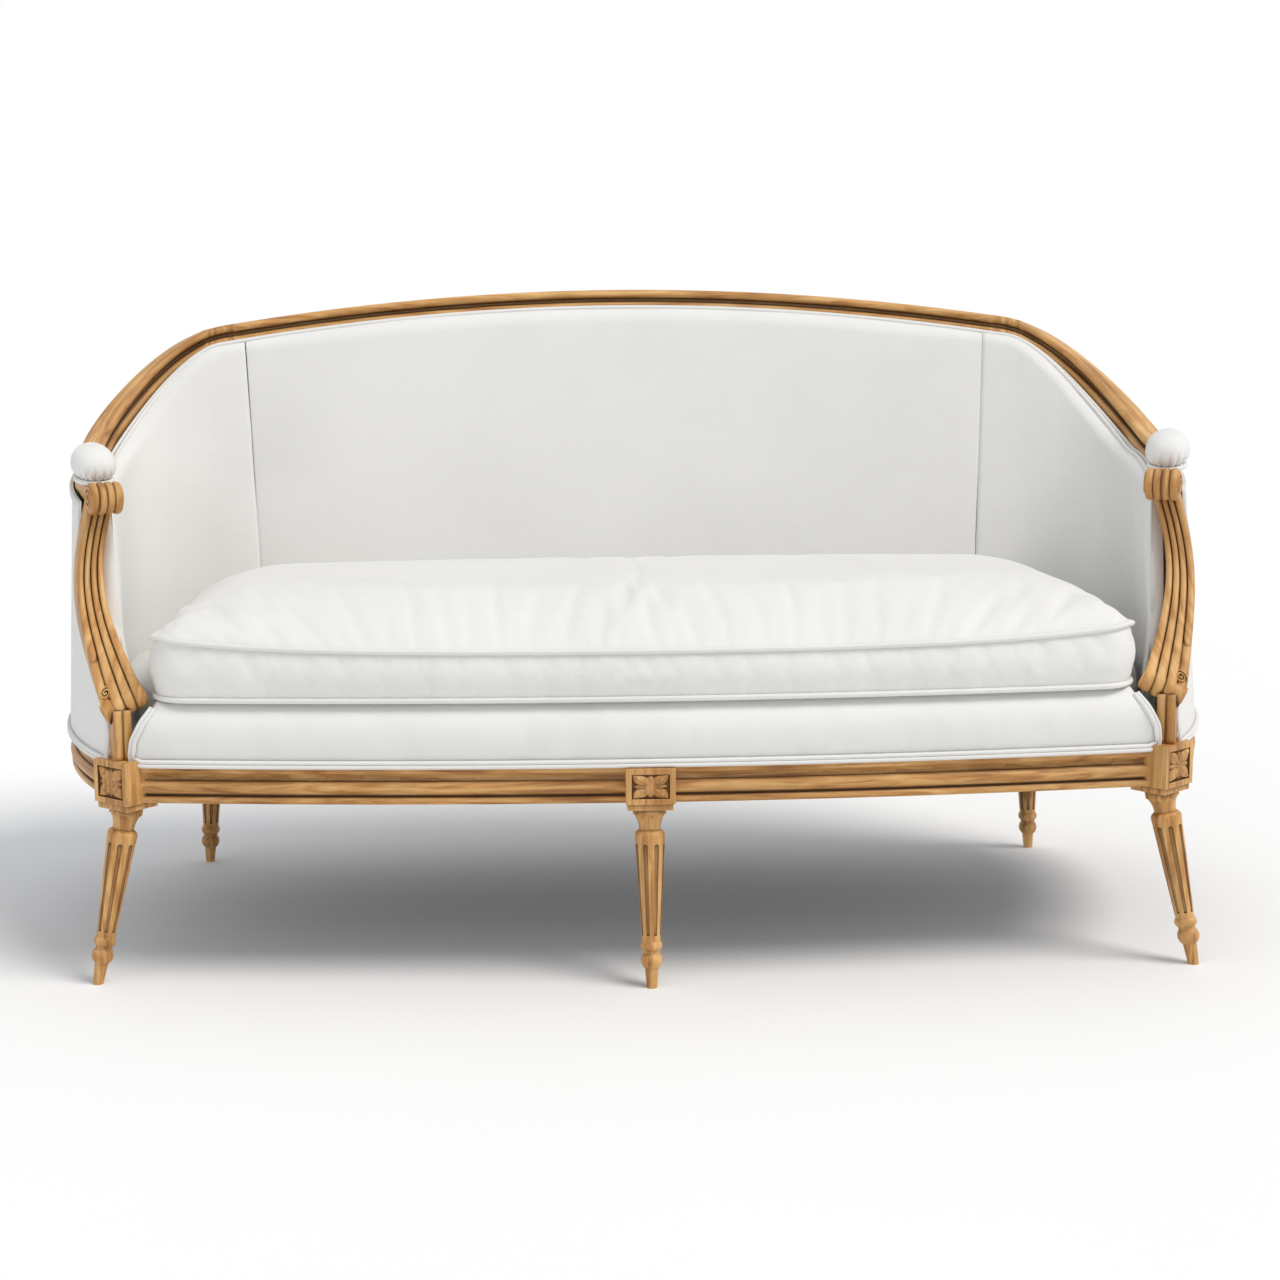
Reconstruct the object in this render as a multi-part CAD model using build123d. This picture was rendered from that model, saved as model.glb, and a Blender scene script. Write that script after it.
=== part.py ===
from build123d import *
import os
from math import asin, atan2, cos, degrees, hypot, pi, radians, sin

# Carved sofa with a basket-shaped plan: the back, wings and arms run round the seat in one line.
# Millimetres, +Z up, front towards -Y. The origin lies on the floor under the middle of the sofa.

# Fits
CLEARANCE = 0.3            # between a soft piece and its neighbour
JOINT_FIT = 0.1            # round a tenon or dowel

# Seat frame
LEG_HEIGHT = 256           # floor to the underside of the seat rails
RAIL_HEIGHT = 50
RAIL_THICKNESS = 44
FRONT_RAIL_Y = -38         # middle line of the front rail at the middle of the sofa
FRONT_BOW = 50             # the corner legs stand this far behind the middle of the front rail
HALF_WIDTH = 850           # middle line of the side rails and of the arms at their widest
CORNER_LEG_IN = 125        # in from the half width
CORNER_TURN = 40           # degrees that the corner blocks face outwards
REAR_LEG_IN = 160
REAR_LEG_Y = 605
BACK_TURN = 8              # degrees that the bowed back has turned at its stiles
TENON_LENGTH = 22
TENON_THICKNESS = 12
TENON_HEIGHT = 28

# Rail moulding, from the bottom up
LOWER_BEAD = 11
QUIRK = 2
MAIN_BEAD = 19
FASCIA = 6
BEAD_SWELL = 6

# Blocks and turned legs
BLOCK_WIDTH = 68
BLOCK_DEPTH = 60
REAR_BLOCK_DEPTH = 52
BLOCK_RISE = 10            # above the rails
PANEL_MARGIN = 8           # flat border of the sunk panel on a block
PANEL_SINK = 3
BOSS_RADIUS = 8
PLINTH_HEIGHT = 9
PLINTH_STEP = 3
LEG_RADIUS = 21            # of the fluted shaft at its top
ANKLE_RADIUS = 13          # of the fluted shaft at its bottom
NECK_RADIUS = 15
COLLAR_RADIUS = 23
FOOT_RADIUS = 7
FLUTES = 8
FLUTE_RADIUS = 3.6
CORNER_SPLAY = 54
SPLAY_TURN = 60            # degrees from the front, towards the side, that a corner leg leans
MIDDLE_SPLAY = 36
REAR_SPLAY = 28
REAR_SPLAY_TURN = 147      # degrees from the front

# Back and arms
CREST_HEIGHT = 962
CREST_ARCH = 54            # from the middle of the crest down to the stiles
STILE_TOP_IN = 178
STILE_TOP_Y = 728
STILE_WIDTH = 52
STILE_FRONT = 8            # in front of the wall line
STILE_BACK = 17            # behind the wall line
ARM_HEIGHT = 687           # top of the arm at its volute
ARM_FRONT_IN = 75
ARM_FRONT_Y = 190
ARM_FALL = 0.12            # steady slope of the arm
SWEEP_LENGTH = 350         # the steep part of the arm, along the arm
TOP_RAIL_HEIGHT = 36
TOP_RAIL_HALF = 21
ARM_BAR_HALF = 17          # half width of the arm under its pad
ARM_BAR_DROP = 15          # the arm lies this much lower under its pad
VOLUTE_RADIUS = 24
VOLUTE_WIDTH = 46
REEDS = 4
REED_SWELL = 3
DOWEL_RADIUS = 5
DOWEL_LENGTH = 50
DOWEL_SPACING = 16

# Arm support
SUPPORT_SET_BACK = 33      # behind the middle of the volute
SUPPORT_SWELL = 16         # outward bow
SUPPORT_SWEEP = 57         # backward bow
SUPPORT_DEPTH = 30
SUPPORT_TOP_WIDTH = 37
SUPPORT_FOOT_WIDTH = 62
SUPPORT_FOOT_HEIGHT = 76   # of its lower end over the block
SUPPORT_FOOT_TILT = 25     # degrees
SUPPORT_FOOT_IN = 8        # its lower end lies this far inside the post
POST_WIDTH = 25
POST_FORWARD = 8           # in front of the middle of the corner block
TENON_RADIUS = 7
STUB_LENGTH = 14           # of the round tenons at the ends of the support

# Upholstery of the back and wings
PAD_BACK = 11              # back face of the pads, in front of the wall line
PAD_DEPTH = 45
PAD_TOP_GAP = 2            # under the crest and arm rails, where a double welt hides it
SEAM_LOW = 0.86            # foot of the seam between back and wing, as a share of the way to the stile
SEAM_TOP = 0.94
SEAM_DIP = 13
SEAM_REACH = 0.3
SEAM_BLEND = 1.25          # along the wall line, where the wing's stuffing stands square to the wall again
OUTSIDE_INNER = 18.5       # outside panels, behind the wall line
OUTSIDE_THICKNESS = 3.5
WELT_RADIUS = 3
STRAP_WIDTH = 55
STRAP_THICKNESS = 1.5
BACK_STRAPS = 9
TACK_RAIL_HEIGHT = 40
TACK_RAIL_FRONT = 7.5
TACK_RAIL_BACK = 14

# Arm pads
ARM_PAD_START = 2.66       # along the wall line, where 2 is the widest point and 3 the volute
ARM_PAD_HEIGHT = 56
ARM_PAD_HALF = 31
ARM_PAD_FOOT_HALF = 23

# Seat
SEAT_STRAPS = 11
LONG_STRAPS = 4
HESSIAN_THICKNESS = 1
DECK_HEIGHT = 88           # over the rails
DECK_ROLL = 24
DECK_FRONT_INSET = 3       # behind the front of the rail
DECK_WALL_GAP = 8          # between the deck and the stuffed wall
DECK_END_GAP = 2
CUSHION_EDGE = 76          # height of its boxing
CUSHION_CROWN = 50
CUSHION_IN = 165           # its front corners, in from the half width
CUSHION_FLARE = 2          # degrees that its sides open towards the back
CUSHION_FRONT_INSET = 14   # behind the front of the rail
CUSHION_BACK_GAP = 64      # in front of the wall line
CUSHION_FRONT_RADIUS = 60
CUSHION_REAR_RADIUS = 150
CUSHION_WELT_RADIUS = 4
CUSHION_WELT_INSET = 1.6   # its middle, inside the cushion's nominal outline
BRACE_WIDTH = 46
BRACE_DROP = 5             # under the webbing
GLUE_BLOCK = 88            # along each of its two short sides
DUST_COVER_THICKNESS = 1
DUST_COVER_END_Q = 2.9     # along the wall line, where the cover turns in at the corner legs

# Derived heights and places
RAIL_TOP = LEG_HEIGHT + RAIL_HEIGHT
BLOCK_TOP = RAIL_TOP + BLOCK_RISE
WEBBING_TOP = RAIL_TOP + 2 * STRAP_THICKNESS
DECK_BASE = WEBBING_TOP + HESSIAN_THICKNESS
DECK_TOP = RAIL_TOP + DECK_HEIGHT
STILE_TOP_Z = CREST_HEIGHT - CREST_ARCH
RAKE = (STILE_TOP_Y - REAR_LEG_Y) / (STILE_TOP_Z - RAIL_TOP)
HALF_RAIL = RAIL_THICKNESS / 2
CORNER_LEG_X = HALF_WIDTH - CORNER_LEG_IN
REAR_LEG_X = HALF_WIDTH - REAR_LEG_IN
STILE_TOP_X = HALF_WIDTH - STILE_TOP_IN
ARM_FRONT_X = HALF_WIDTH - ARM_FRONT_IN
CUSHION_HALF = HALF_WIDTH - CUSHION_IN
CORNER_LEG_Y = FRONT_RAIL_Y + FRONT_BOW


class Via(tuple):
    """A point that bends the stretch it lies on into an arc."""


def closed_wire(outline, place):
    """Join the outline's points with lines, or with an arc where a Via point lies between two."""
    edges = []
    start = outline[0]
    bend = None
    for entry in list(outline[1:]) + [outline[0]]:
        if isinstance(entry, Via):
            bend = entry
        elif bend:
            edges.append(Edge.make_three_point_arc(place(*start), place(*bend), place(*entry)))
            start, bend = entry, None
        else:
            edges.append(Edge.make_line(place(*start), place(*entry)))
            start = entry
    return Wire(edges)


def mirrored(shape):
    return shape.mirror(Plane.YZ)


def joined(shapes):
    first, *rest = shapes
    return first.fuse(*rest) if rest else first


class BowLine:
    """Half of a bowed plan line, square to Y in the middle and turned by BACK_TURN at its end."""

    def __init__(self, end_x, end_y):
        self.radius = end_x / sin(radians(BACK_TURN))
        self.centre = (0, end_y - self.radius * cos(radians(BACK_TURN)))
        self.length = self.radius * radians(BACK_TURN)

    def angle(self, share):
        return pi / 2 - radians(BACK_TURN) * share


class WingLine:
    """Plan line of the right wing: a corner arc from stile to widest point, then a long arc forward."""

    def __init__(self, stile, widest_x, front):
        self.turn = radians(90 - BACK_TURN)
        self.corner_radius = (widest_x - stile[0]) / (1 - cos(self.turn))
        widest_y = stile[1] - self.corner_radius * sin(self.turn)
        inward = widest_x - front[0]
        forward = widest_y - front[1]
        self.front_radius = (inward**2 + forward**2) / (2 * inward)
        self.front_turn = 2 * atan2(inward, forward)
        self.corner_centre = (widest_x - self.corner_radius, widest_y)
        self.front_centre = (widest_x - self.front_radius, widest_y)
        self.corner_length = self.corner_radius * self.turn
        self.front_length = self.front_radius * self.front_turn


def on_arc(centre, radius, angle):
    return centre[0] + radius * cos(angle), centre[1] + radius * sin(angle)


class WallLine:
    """Plan line of the wall: q is 0 mid-back, 1 at the stile, 2 at the widest point, 3 at the front."""

    def __init__(self, stile, widest_x, front):
        self.back = BowLine(*stile)
        self.wing = WingLine(stile, widest_x, front)

    def arc(self, q):
        """Centre, radius and angle of the arc at q."""
        if q <= 1:
            return self.back.centre, self.back.radius, self.back.angle(q)
        if q <= 2:
            return self.wing.corner_centre, self.wing.corner_radius, self.wing.turn * (2 - q)
        return self.wing.front_centre, self.wing.front_radius, self.wing.front_turn * (2 - q)

    def point(self, q, offset=0):
        centre, radius, angle = self.arc(q)
        return on_arc(centre, radius + offset, angle)

    def normal(self, q):
        angle = self.arc(q)[2]
        return cos(angle), sin(angle)

    def past_stile(self, q):
        """Length along the line from the stile to q."""
        return self.wing.corner_length * min(q - 1, 1) + self.wing.front_length * max(q - 2, 0)

    def length_of(self, q):
        """Length of the arc that q lies on."""
        return (self.back.length, self.wing.corner_length, self.wing.front_length)[min(int(q), 2)]


CORNER_LEG = (CORNER_LEG_X, CORNER_LEG_Y)
POST_X = CORNER_LEG_X + POST_FORWARD * sin(radians(CORNER_TURN))
POST_Y = CORNER_LEG_Y - POST_FORWARD * cos(radians(CORNER_TURN))
POST = (POST_X, POST_Y)
REAR_LEG = (REAR_LEG_X, REAR_LEG_Y)
LOW_LINE = WallLine(REAR_LEG, HALF_WIDTH, CORNER_LEG)
TOP_LINE = WallLine((STILE_TOP_X, STILE_TOP_Y), HALF_WIDTH, (ARM_FRONT_X, ARM_FRONT_Y))
ARM_SWEEP = STILE_TOP_Z - ARM_HEIGHT - ARM_FALL * TOP_LINE.past_stile(3)
STILE_Q_BACK = 1 - STILE_WIDTH / 2 / TOP_LINE.back.length
STILE_Q_WING = 1 + STILE_WIDTH / 2 / TOP_LINE.wing.corner_length
FRONT_ARC_RADIUS = (CORNER_LEG_X**2 + FRONT_BOW**2) / (2 * FRONT_BOW)
FRONT_ARC_CENTRE = (0, FRONT_RAIL_Y + FRONT_ARC_RADIUS)


def top_height(q):
    """Height of the crest rail or the arm rail at q."""
    if q <= 1:
        return CREST_HEIGHT - CREST_ARCH * q**2
    run = TOP_LINE.past_stile(q)
    share = min(run / SWEEP_LENGTH, 1) ** 0.9
    return STILE_TOP_Z - ARM_SWEEP * (1 - cos(pi * share)) / 2 - ARM_FALL * run


def top_stretch(q):
    """A sloping rail is taller on a plumb line than square to its length."""
    return hypot(1, top_slope(q))


def underside(q):
    return top_height(q) - TOP_RAIL_HEIGHT * top_stretch(q)


def top_slope(q):
    """Rise of the top rail along its length, towards the front."""
    step = 0.001
    return (top_height(q + step) - top_height(q)) / (step * TOP_LINE.length_of(q))


def wall_top(q):
    """Underside of the top rail where the leaning wall meets it, further forward than at its top."""
    low = LOW_LINE.point(q)
    top = TOP_LINE.point(q)
    out_x, out_y = TOP_LINE.normal(q)
    lean = (top[0] - low[0]) * out_y - (top[1] - low[1]) * out_x
    share = (top_height(q) - underside(q)) / (top_height(q) - RAIL_TOP)
    return underside(q) - top_slope(q) * lean * share


def top_place(signed_q):
    """Places (outward, upward) points round the wall's top, on the left where q is negative."""
    q = abs(signed_q)
    side = -1 if signed_q < 0 else 1
    x, y = TOP_LINE.point(q)
    out_x, out_y = TOP_LINE.normal(q)
    height = top_height(q)
    stretch = top_stretch(q)
    return lambda out, up: Vector(side * (x + out_x * out), y + out_y * out, height + up * stretch)


def wall_between(low_q, top_q, side):
    """Places (outward, height) points on the leaning wall, from low_q on the rail to top_q above."""
    low = LOW_LINE.point(low_q)
    top = TOP_LINE.point(top_q)
    low_out = LOW_LINE.normal(low_q)
    top_out = TOP_LINE.normal(top_q)
    size = hypot(low_out[0] + top_out[0], low_out[1] + top_out[1])
    out_x = (low_out[0] + top_out[0]) / size
    out_y = (low_out[1] + top_out[1]) / size
    rise = top_height(top_q) - RAIL_TOP

    def place(out, height):
        share = (height - RAIL_TOP) / rise
        x = low[0] + (top[0] - low[0]) * share + out_x * out
        y = low[1] + (top[1] - low[1]) * share + out_y * out
        return Vector(side * x, y, height)

    return place


def wall_place(signed_q):
    """A plumb station on the wall, left of the middle where q is negative."""
    return wall_between(abs(signed_q), abs(signed_q), -1 if signed_q < 0 else 1)


def seam_q(q, seam):
    """The stuffing's own stations: 1 is the slanted seam between the back and the wing."""
    if q <= 1:
        return q * seam
    if q < SEAM_BLEND:
        return seam + (SEAM_BLEND - seam) * (q - 1) / (SEAM_BLEND - 1)
    return q


def pad_place(signed_q):
    q = abs(signed_q)
    return wall_between(seam_q(q, SEAM_LOW), seam_q(q, SEAM_TOP), -1 if signed_q < 0 else 1)


def loft_round(outline_at, place_at, *runs):
    """One smooth loft through each run of stations, joined end to end."""
    return joined(
        [Solid.make_loft([closed_wire(outline_at(abs(q)), place_at(q)) for q in run]) for run in runs]
    )


def spread(first, last, count):
    return [first + (last - first) * i / (count - 1) for i in range(count)]


def arc_bar(outline, centre, radius, first, last):
    """Turn an (outward, height) outline about an arc's centre from one angle to another, either way."""
    way = 1 if last > first else -1
    ring = outline if way > 0 else outline[:1] + outline[:0:-1]

    def place(out, height):
        x, y = on_arc(centre, radius + out, first)
        return Vector(x, y, height)

    axis = Axis((centre[0], centre[1], 0), (0, 0, way))
    return Solid.revolve(Face(closed_wire(ring, place)), degrees(abs(last - first)), axis)


def low_bar(outline, first, last):
    """A bar along the seat rail's plan line on the right, from q first to q last."""
    stops = [first] + [q for q in (1, 2) if first < q < last] + [last]
    bars = []
    for start, end in zip(stops, stops[1:]):
        middle = (start + end) / 2
        centre, radius, _ = LOW_LINE.arc(middle)
        turn = {0: radians(BACK_TURN), 1: LOW_LINE.wing.turn, 2: LOW_LINE.wing.front_turn}[int(middle)]
        at_start = LOW_LINE.arc(middle)[2] + turn * (middle - start)
        at_end = LOW_LINE.arc(middle)[2] - turn * (end - middle)
        bars.append(arc_bar(outline, centre, radius, at_end, at_start))
    return joined(bars)


def back_bar(outline, half_q):
    """A bar along the bowed back, from one side to the other."""
    line = LOW_LINE.back
    return arc_bar(outline, line.centre, line.radius, line.angle(half_q), line.angle(-half_q))


def front_bar(outline, start_x, end_x):
    first = -pi / 2 + asin(start_x / FRONT_ARC_RADIUS)
    last = -pi / 2 + asin(end_x / FRONT_ARC_RADIUS)
    return arc_bar(outline, FRONT_ARC_CENTRE, FRONT_ARC_RADIUS, first, last)


def rail_outline():
    """Moulded rail: a lower bead, a quirk, the main bead, a cove and a narrow fascia."""
    face = HALF_RAIL - BEAD_SWELL
    lower_top = LEG_HEIGHT + LOWER_BEAD
    main_foot = lower_top + QUIRK
    main_top = main_foot + MAIN_BEAD
    fascia_foot = RAIL_TOP - FASCIA
    return [
        (-HALF_RAIL, LEG_HEIGHT),
        (face, LEG_HEIGHT),
        Via((HALF_RAIL - 1.5, LEG_HEIGHT + LOWER_BEAD / 2)),
        (face, lower_top),
        (face - QUIRK, lower_top),
        (face - QUIRK, main_foot),
        (face, main_foot),
        Via((HALF_RAIL, main_foot + MAIN_BEAD / 2)),
        (face, main_top),
        (face - QUIRK, main_top),
        Via((face - 1, (main_top + fascia_foot) / 2 + 1)),
        (HALF_RAIL - 2, fascia_foot),
        (HALF_RAIL - 2, RAIL_TOP),
        (-HALF_RAIL, RAIL_TOP),
    ]


def tenon_outline(fit):
    half = TENON_THICKNESS / 2 + fit
    middle = LEG_HEIGHT + RAIL_HEIGHT / 2
    reach = TENON_HEIGHT / 2 + fit
    low = middle - reach
    high = middle + reach
    return [(-half, low), (half, low), (half, high), (-half, high)]


def block(width, depth, base, top, centre, turn):
    """Square block with its face turned by so many degrees from the front towards the right."""
    box = Box(width, depth, top - base, align=(Align.CENTER, Align.CENTER, Align.MIN))
    return (Pos(centre[0], centre[1], base) * Rot(0, 0, turn) * box).solid()


def sunk_panel(centre, turn, top):
    """Shallow square recess in the face of a block, with a raised boss in its middle."""
    width = BLOCK_WIDTH - 2 * PANEL_MARGIN
    height = top - LEG_HEIGHT - 2 * PANEL_MARGIN
    face_y = -BLOCK_DEPTH / 2
    middle = (LEG_HEIGHT + top) / 2
    recess = Pos(0, face_y, 0) * Box(width, 2 * PANEL_SINK, height)
    boss = Pos(0, face_y + PANEL_SINK, 0) * Rot(90, 0, 0) * Cylinder(BOSS_RADIUS, 2 * PANEL_SINK)
    return Pos(centre[0], centre[1], middle) * Rot(0, 0, turn) * (recess - boss)


def turned_leg(splay):
    """Turned and fluted leg standing on a plumb axis, with its top at the underside of the block."""
    reach = hypot(LEG_HEIGHT, splay) - LEG_HEIGHT + 4
    shaft_foot = 64
    shaft_top = LEG_HEIGHT - 51
    collar_foot = LEG_HEIGHT - 19
    profile = [
        (0, LEG_HEIGHT - PLINTH_HEIGHT / 2),
        (COLLAR_RADIUS, LEG_HEIGHT - PLINTH_HEIGHT / 2),
        (COLLAR_RADIUS, collar_foot),
        (COLLAR_RADIUS - 2.5, collar_foot - 1.5),
        Via((NECK_RADIUS + 1, shaft_top + 20)),
        (NECK_RADIUS, shaft_top + 13),
        (NECK_RADIUS, shaft_top + 10),
        Via((LEG_RADIUS - 1.4, shaft_top + 7)),
        (LEG_RADIUS, shaft_top),
        (ANKLE_RADIUS, shaft_foot),
        (ANKLE_RADIUS, shaft_foot - 2),
        Via((ANKLE_RADIUS + 2.5, shaft_foot - 8)),
        (ANKLE_RADIUS, shaft_foot - 14),
        (ANKLE_RADIUS - 1.5, shaft_foot - 16),
        (ANKLE_RADIUS - 1.5, shaft_foot - 19),
        Via((ANKLE_RADIUS + 2, shaft_foot - 28)),
        (FOOT_RADIUS + 2.5, shaft_foot - 40),
        (FOOT_RADIUS, -reach),
        (0, -reach),
    ]
    outline = closed_wire(profile, lambda radius, height: Vector(radius, 0, height))
    leg = Solid.revolve(Face(outline), 360, Axis.Z)
    flute_foot = shaft_foot + 6
    flute_top = shaft_top - 12
    taper = (LEG_RADIUS - ANKLE_RADIUS) / (shaft_top - shaft_foot)
    length = (flute_top - flute_foot) * hypot(1, taper)
    shape = Solid.make_cone(FLUTE_RADIUS * ANKLE_RADIUS / LEG_RADIUS, FLUTE_RADIUS, length)
    shape = shape.fuse(Solid.make_sphere(FLUTE_RADIUS, angle1=-90, angle2=90).moved(Pos(0, 0, length)))
    start_radius = ANKLE_RADIUS + taper * (flute_foot - shaft_foot)
    flute = shape.moved(Pos(start_radius, 0, flute_foot) * Rot(0, degrees(atan2(taper, 1)), 0))
    return leg.cut(*[flute.rotate(Axis.Z, 360 * (i + 0.5) / FLUTES) for i in range(FLUTES)]).solid()


def standing_leg(splay, centre, turn):
    """A turned leg leaning outwards from under its block, cut level at the floor."""
    lean = degrees(atan2(splay, LEG_HEIGHT))
    tilt = Rot(0, 0, turn) * Rot(-lean, 0, 0) * Pos(0, 0, -LEG_HEIGHT)
    leg = turned_leg(splay).moved(Pos(centre[0], centre[1], LEG_HEIGHT) * tilt)
    reach = 2 * BLOCK_WIDTH
    floor = Box(2 * reach, 2 * reach, reach, align=(Align.CENTER, Align.CENTER, Align.MAX))
    return leg.cut((Pos(centre[0], centre[1], 0) * floor).solid()).solid()


def leg_block(centre, turn, top, width=BLOCK_WIDTH, depth=BLOCK_DEPTH):
    plinth = block(
        width - 2 * PLINTH_STEP, depth - 2 * PLINTH_STEP, LEG_HEIGHT - PLINTH_HEIGHT, top, centre, turn
    )
    return block(width, depth, LEG_HEIGHT, top, centre, turn).fuse(plinth)


def q_before(q_end, distance, line):
    """The q that lies a distance back along the wing from q_end."""
    length = line.wing.front_length if q_end > 2 else line.wing.corner_length
    return q_end - distance / length


# Front rails and the tongues of their tenons
MIDDLE_BLOCK = (0, FRONT_RAIL_Y)
CORNER_INNER_X = CORNER_LEG_X - BLOCK_WIDTH / 2
MIDDLE_TENON_X = BLOCK_WIDTH / 2 - TENON_LENGTH
FRONT_TENON_X = CORNER_INNER_X + TENON_LENGTH
SIDE_TENON_Q = q_before(3, BLOCK_DEPTH / 2 - TENON_LENGTH, LOW_LINE)
REAR_BLOCK_WIDTH = STILE_WIDTH
STILE_TENON_Q = 1 + (REAR_BLOCK_WIDTH / 2 - TENON_LENGTH) / LOW_LINE.wing.corner_length
BACK_TENON_Q = 1 - (REAR_BLOCK_WIDTH / 2 - TENON_LENGTH) / LOW_LINE.back.length

corner_block = block(BLOCK_WIDTH, BLOCK_DEPTH, LEG_HEIGHT, BLOCK_TOP, CORNER_LEG, CORNER_TURN)
middle_block = block(BLOCK_WIDTH, BLOCK_DEPTH, LEG_HEIGHT, RAIL_TOP, MIDDLE_BLOCK, 0)
rear_block = block(REAR_BLOCK_WIDTH, REAR_BLOCK_DEPTH, LEG_HEIGHT, RAIL_TOP, REAR_LEG, -BACK_TURN)


def front_rail(side):
    """Bowed rail on the right or left, ending on the plane of the corner block's side."""
    corner = (side * CORNER_LEG_X, CORNER_LEG_Y)
    corner_side = block(BLOCK_WIDTH, 3 * BLOCK_DEPTH, LEG_HEIGHT, BLOCK_TOP, corner, side * CORNER_TURN)
    rail = front_bar(rail_outline(), 0, corner[0]).cut(middle_block, corner_side)
    rail = max(rail.solids(), key=lambda solid: solid.volume)
    return rail.fuse(front_bar(tenon_outline(0), side * MIDDLE_TENON_X, side * FRONT_TENON_X)).solid()


def side_rail():
    rail = low_bar(rail_outline(), 1, 3).cut(corner_block, rear_block)
    rail = max(rail.solids(), key=lambda solid: solid.volume)
    return rail.fuse(low_bar(tenon_outline(0), STILE_TENON_Q, SIDE_TENON_Q)).solid()


def rear_rail():
    plain = [
        (-HALF_RAIL, LEG_HEIGHT),
        (HALF_RAIL, LEG_HEIGHT),
        (HALF_RAIL, RAIL_TOP),
        (-HALF_RAIL, RAIL_TOP),
    ]
    rail = back_bar(plain, 1).cut(rear_block, mirrored(rear_block))
    rail = max(rail.solids(), key=lambda solid: solid.volume)
    return rail.fuse(back_bar(tenon_outline(0), BACK_TENON_Q)).solid()


def front_mortises():
    return front_bar(tenon_outline(JOINT_FIT), MIDDLE_TENON_X - JOINT_FIT, FRONT_TENON_X + JOINT_FIT)


def side_mortises():
    slack = JOINT_FIT / LOW_LINE.wing.front_length
    return low_bar(tenon_outline(JOINT_FIT), STILE_TENON_Q - slack, SIDE_TENON_Q + slack)


def corner_leg():
    """Front corner leg on the right: block with a sunk panel, two mortises and the arm support's socket."""
    leg = leg_block(CORNER_LEG, CORNER_TURN, BLOCK_TOP).cut(
        sunk_panel(CORNER_LEG, CORNER_TURN, BLOCK_TOP),
        front_mortises(),
        side_mortises(),
        stub_tenon(Vector(*POST, BLOCK_TOP), JOINT_FIT),
    )
    return leg.fuse(standing_leg(CORNER_SPLAY, CORNER_LEG, SPLAY_TURN)).solid()


def middle_leg():
    leg = leg_block(MIDDLE_BLOCK, 0, RAIL_TOP).cut(
        sunk_panel(MIDDLE_BLOCK, 0, RAIL_TOP), front_mortises(), mirrored(front_mortises())
    )
    return leg.fuse(standing_leg(MIDDLE_SPLAY, MIDDLE_BLOCK, 0)).solid()


def stub_tenon(seat, fit):
    """Round tenon or its socket, reaching as far above its seat as below it."""
    length = STUB_LENGTH + fit
    return Solid.make_cylinder(TENON_RADIUS + fit, 2 * length).moved(Pos(seat.X, seat.Y, seat.Z - length))


def rear_stile():
    """Rear leg on the right: turned leg, block, raked stile and a moulded head between crest and arm."""
    stations = [STILE_Q_BACK, 1, STILE_Q_WING]

    def post(q):
        head = underside(q) + TOP_RAIL_HEIGHT / 3
        return [(-STILE_FRONT, RAIL_TOP), (STILE_BACK, RAIL_TOP), (STILE_BACK, head), (-STILE_FRONT, head)]

    head = loft_round(lambda q: top_rail_outline(), top_place, stations)
    stile = leg_block(REAR_LEG, -BACK_TURN, RAIL_TOP, REAR_BLOCK_WIDTH, REAR_BLOCK_DEPTH)
    stile = stile.fuse(loft_round(post, wall_place, stations), head)
    stile = stile.cut(
        side_mortises(),
        back_bar(tenon_outline(JOINT_FIT), BACK_TENON_Q + JOINT_FIT / LOW_LINE.back.length),
        *head_dowels(JOINT_FIT),
    )
    return stile.fuse(standing_leg(REAR_SPLAY, REAR_LEG, REAR_SPLAY_TURN)).solid()


def top_rail_outline():
    """Crest and arm moulding: a round top bead, a hollow and a lower bead inside, and a plain back."""
    half = TOP_RAIL_HALF
    foot = -TOP_RAIL_HEIGHT
    return [
        (half - 4, foot),
        (half - 4, -6),
        Via((half - 6, -1.5)),
        (half - 10, 0),
        (-half + 11, 0),
        Via((-half + 2, -6)),
        (-half + 8, -14),
        Via((-half + 11, -17)),
        (-half + 7, -20),
        Via((-half, -28)),
        (-half + 6, foot),
    ]


def arm_bar_outline():
    half = ARM_BAR_HALF
    foot = -TOP_RAIL_HEIGHT
    top = -ARM_BAR_DROP
    return [(-half, foot), (half, foot), (half, top), (-half, top)]


def head_dowels(fit):
    """Dowels across the two joints of the stile's head on the right, two to each joint."""
    dowels = []
    for q in (STILE_Q_BACK, STILE_Q_WING):
        out_x, out_y = TOP_LINE.normal(q)
        along = Vector(out_y, -out_x, top_slope(q)).normalized()
        length = DOWEL_LENGTH + 2 * fit
        for height in (0, -DOWEL_SPACING):
            middle = top_place(q)(2, height - TOP_RAIL_HEIGHT / 2 + DOWEL_SPACING / 2)
            base = Plane(origin=middle - along * (length / 2), z_dir=along)
            dowels.append(Solid.make_cylinder(DOWEL_RADIUS + fit, length, base))
    return dowels


def crest_rail():
    rail = loft_round(lambda q: top_rail_outline(), top_place, spread(-STILE_Q_BACK, STILE_Q_BACK, 7))
    sockets = head_dowels(JOINT_FIT)
    return rail.cut(*sockets, *[mirrored(socket) for socket in sockets]).solid()


# Directions at the front of the arm: out is square to the arm and back runs along it
OUT = Vector(*TOP_LINE.normal(3), 0)
BACK = Vector(-OUT.Y, OUT.X, 0)
VOLUTE_CENTRE = Vector(ARM_FRONT_X, ARM_FRONT_Y, ARM_HEIGHT - VOLUTE_RADIUS)


def reeds(width, level, swell):
    """Points of a row of reeds, from one side to the other."""
    pitch = width / REEDS
    points = [(-width / 2, level)]
    for i in range(REEDS):
        left = -width / 2 + i * pitch
        points.append(Via((left + pitch / 2, level + swell)))
        points.append((left + pitch, level))
    return points


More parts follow.
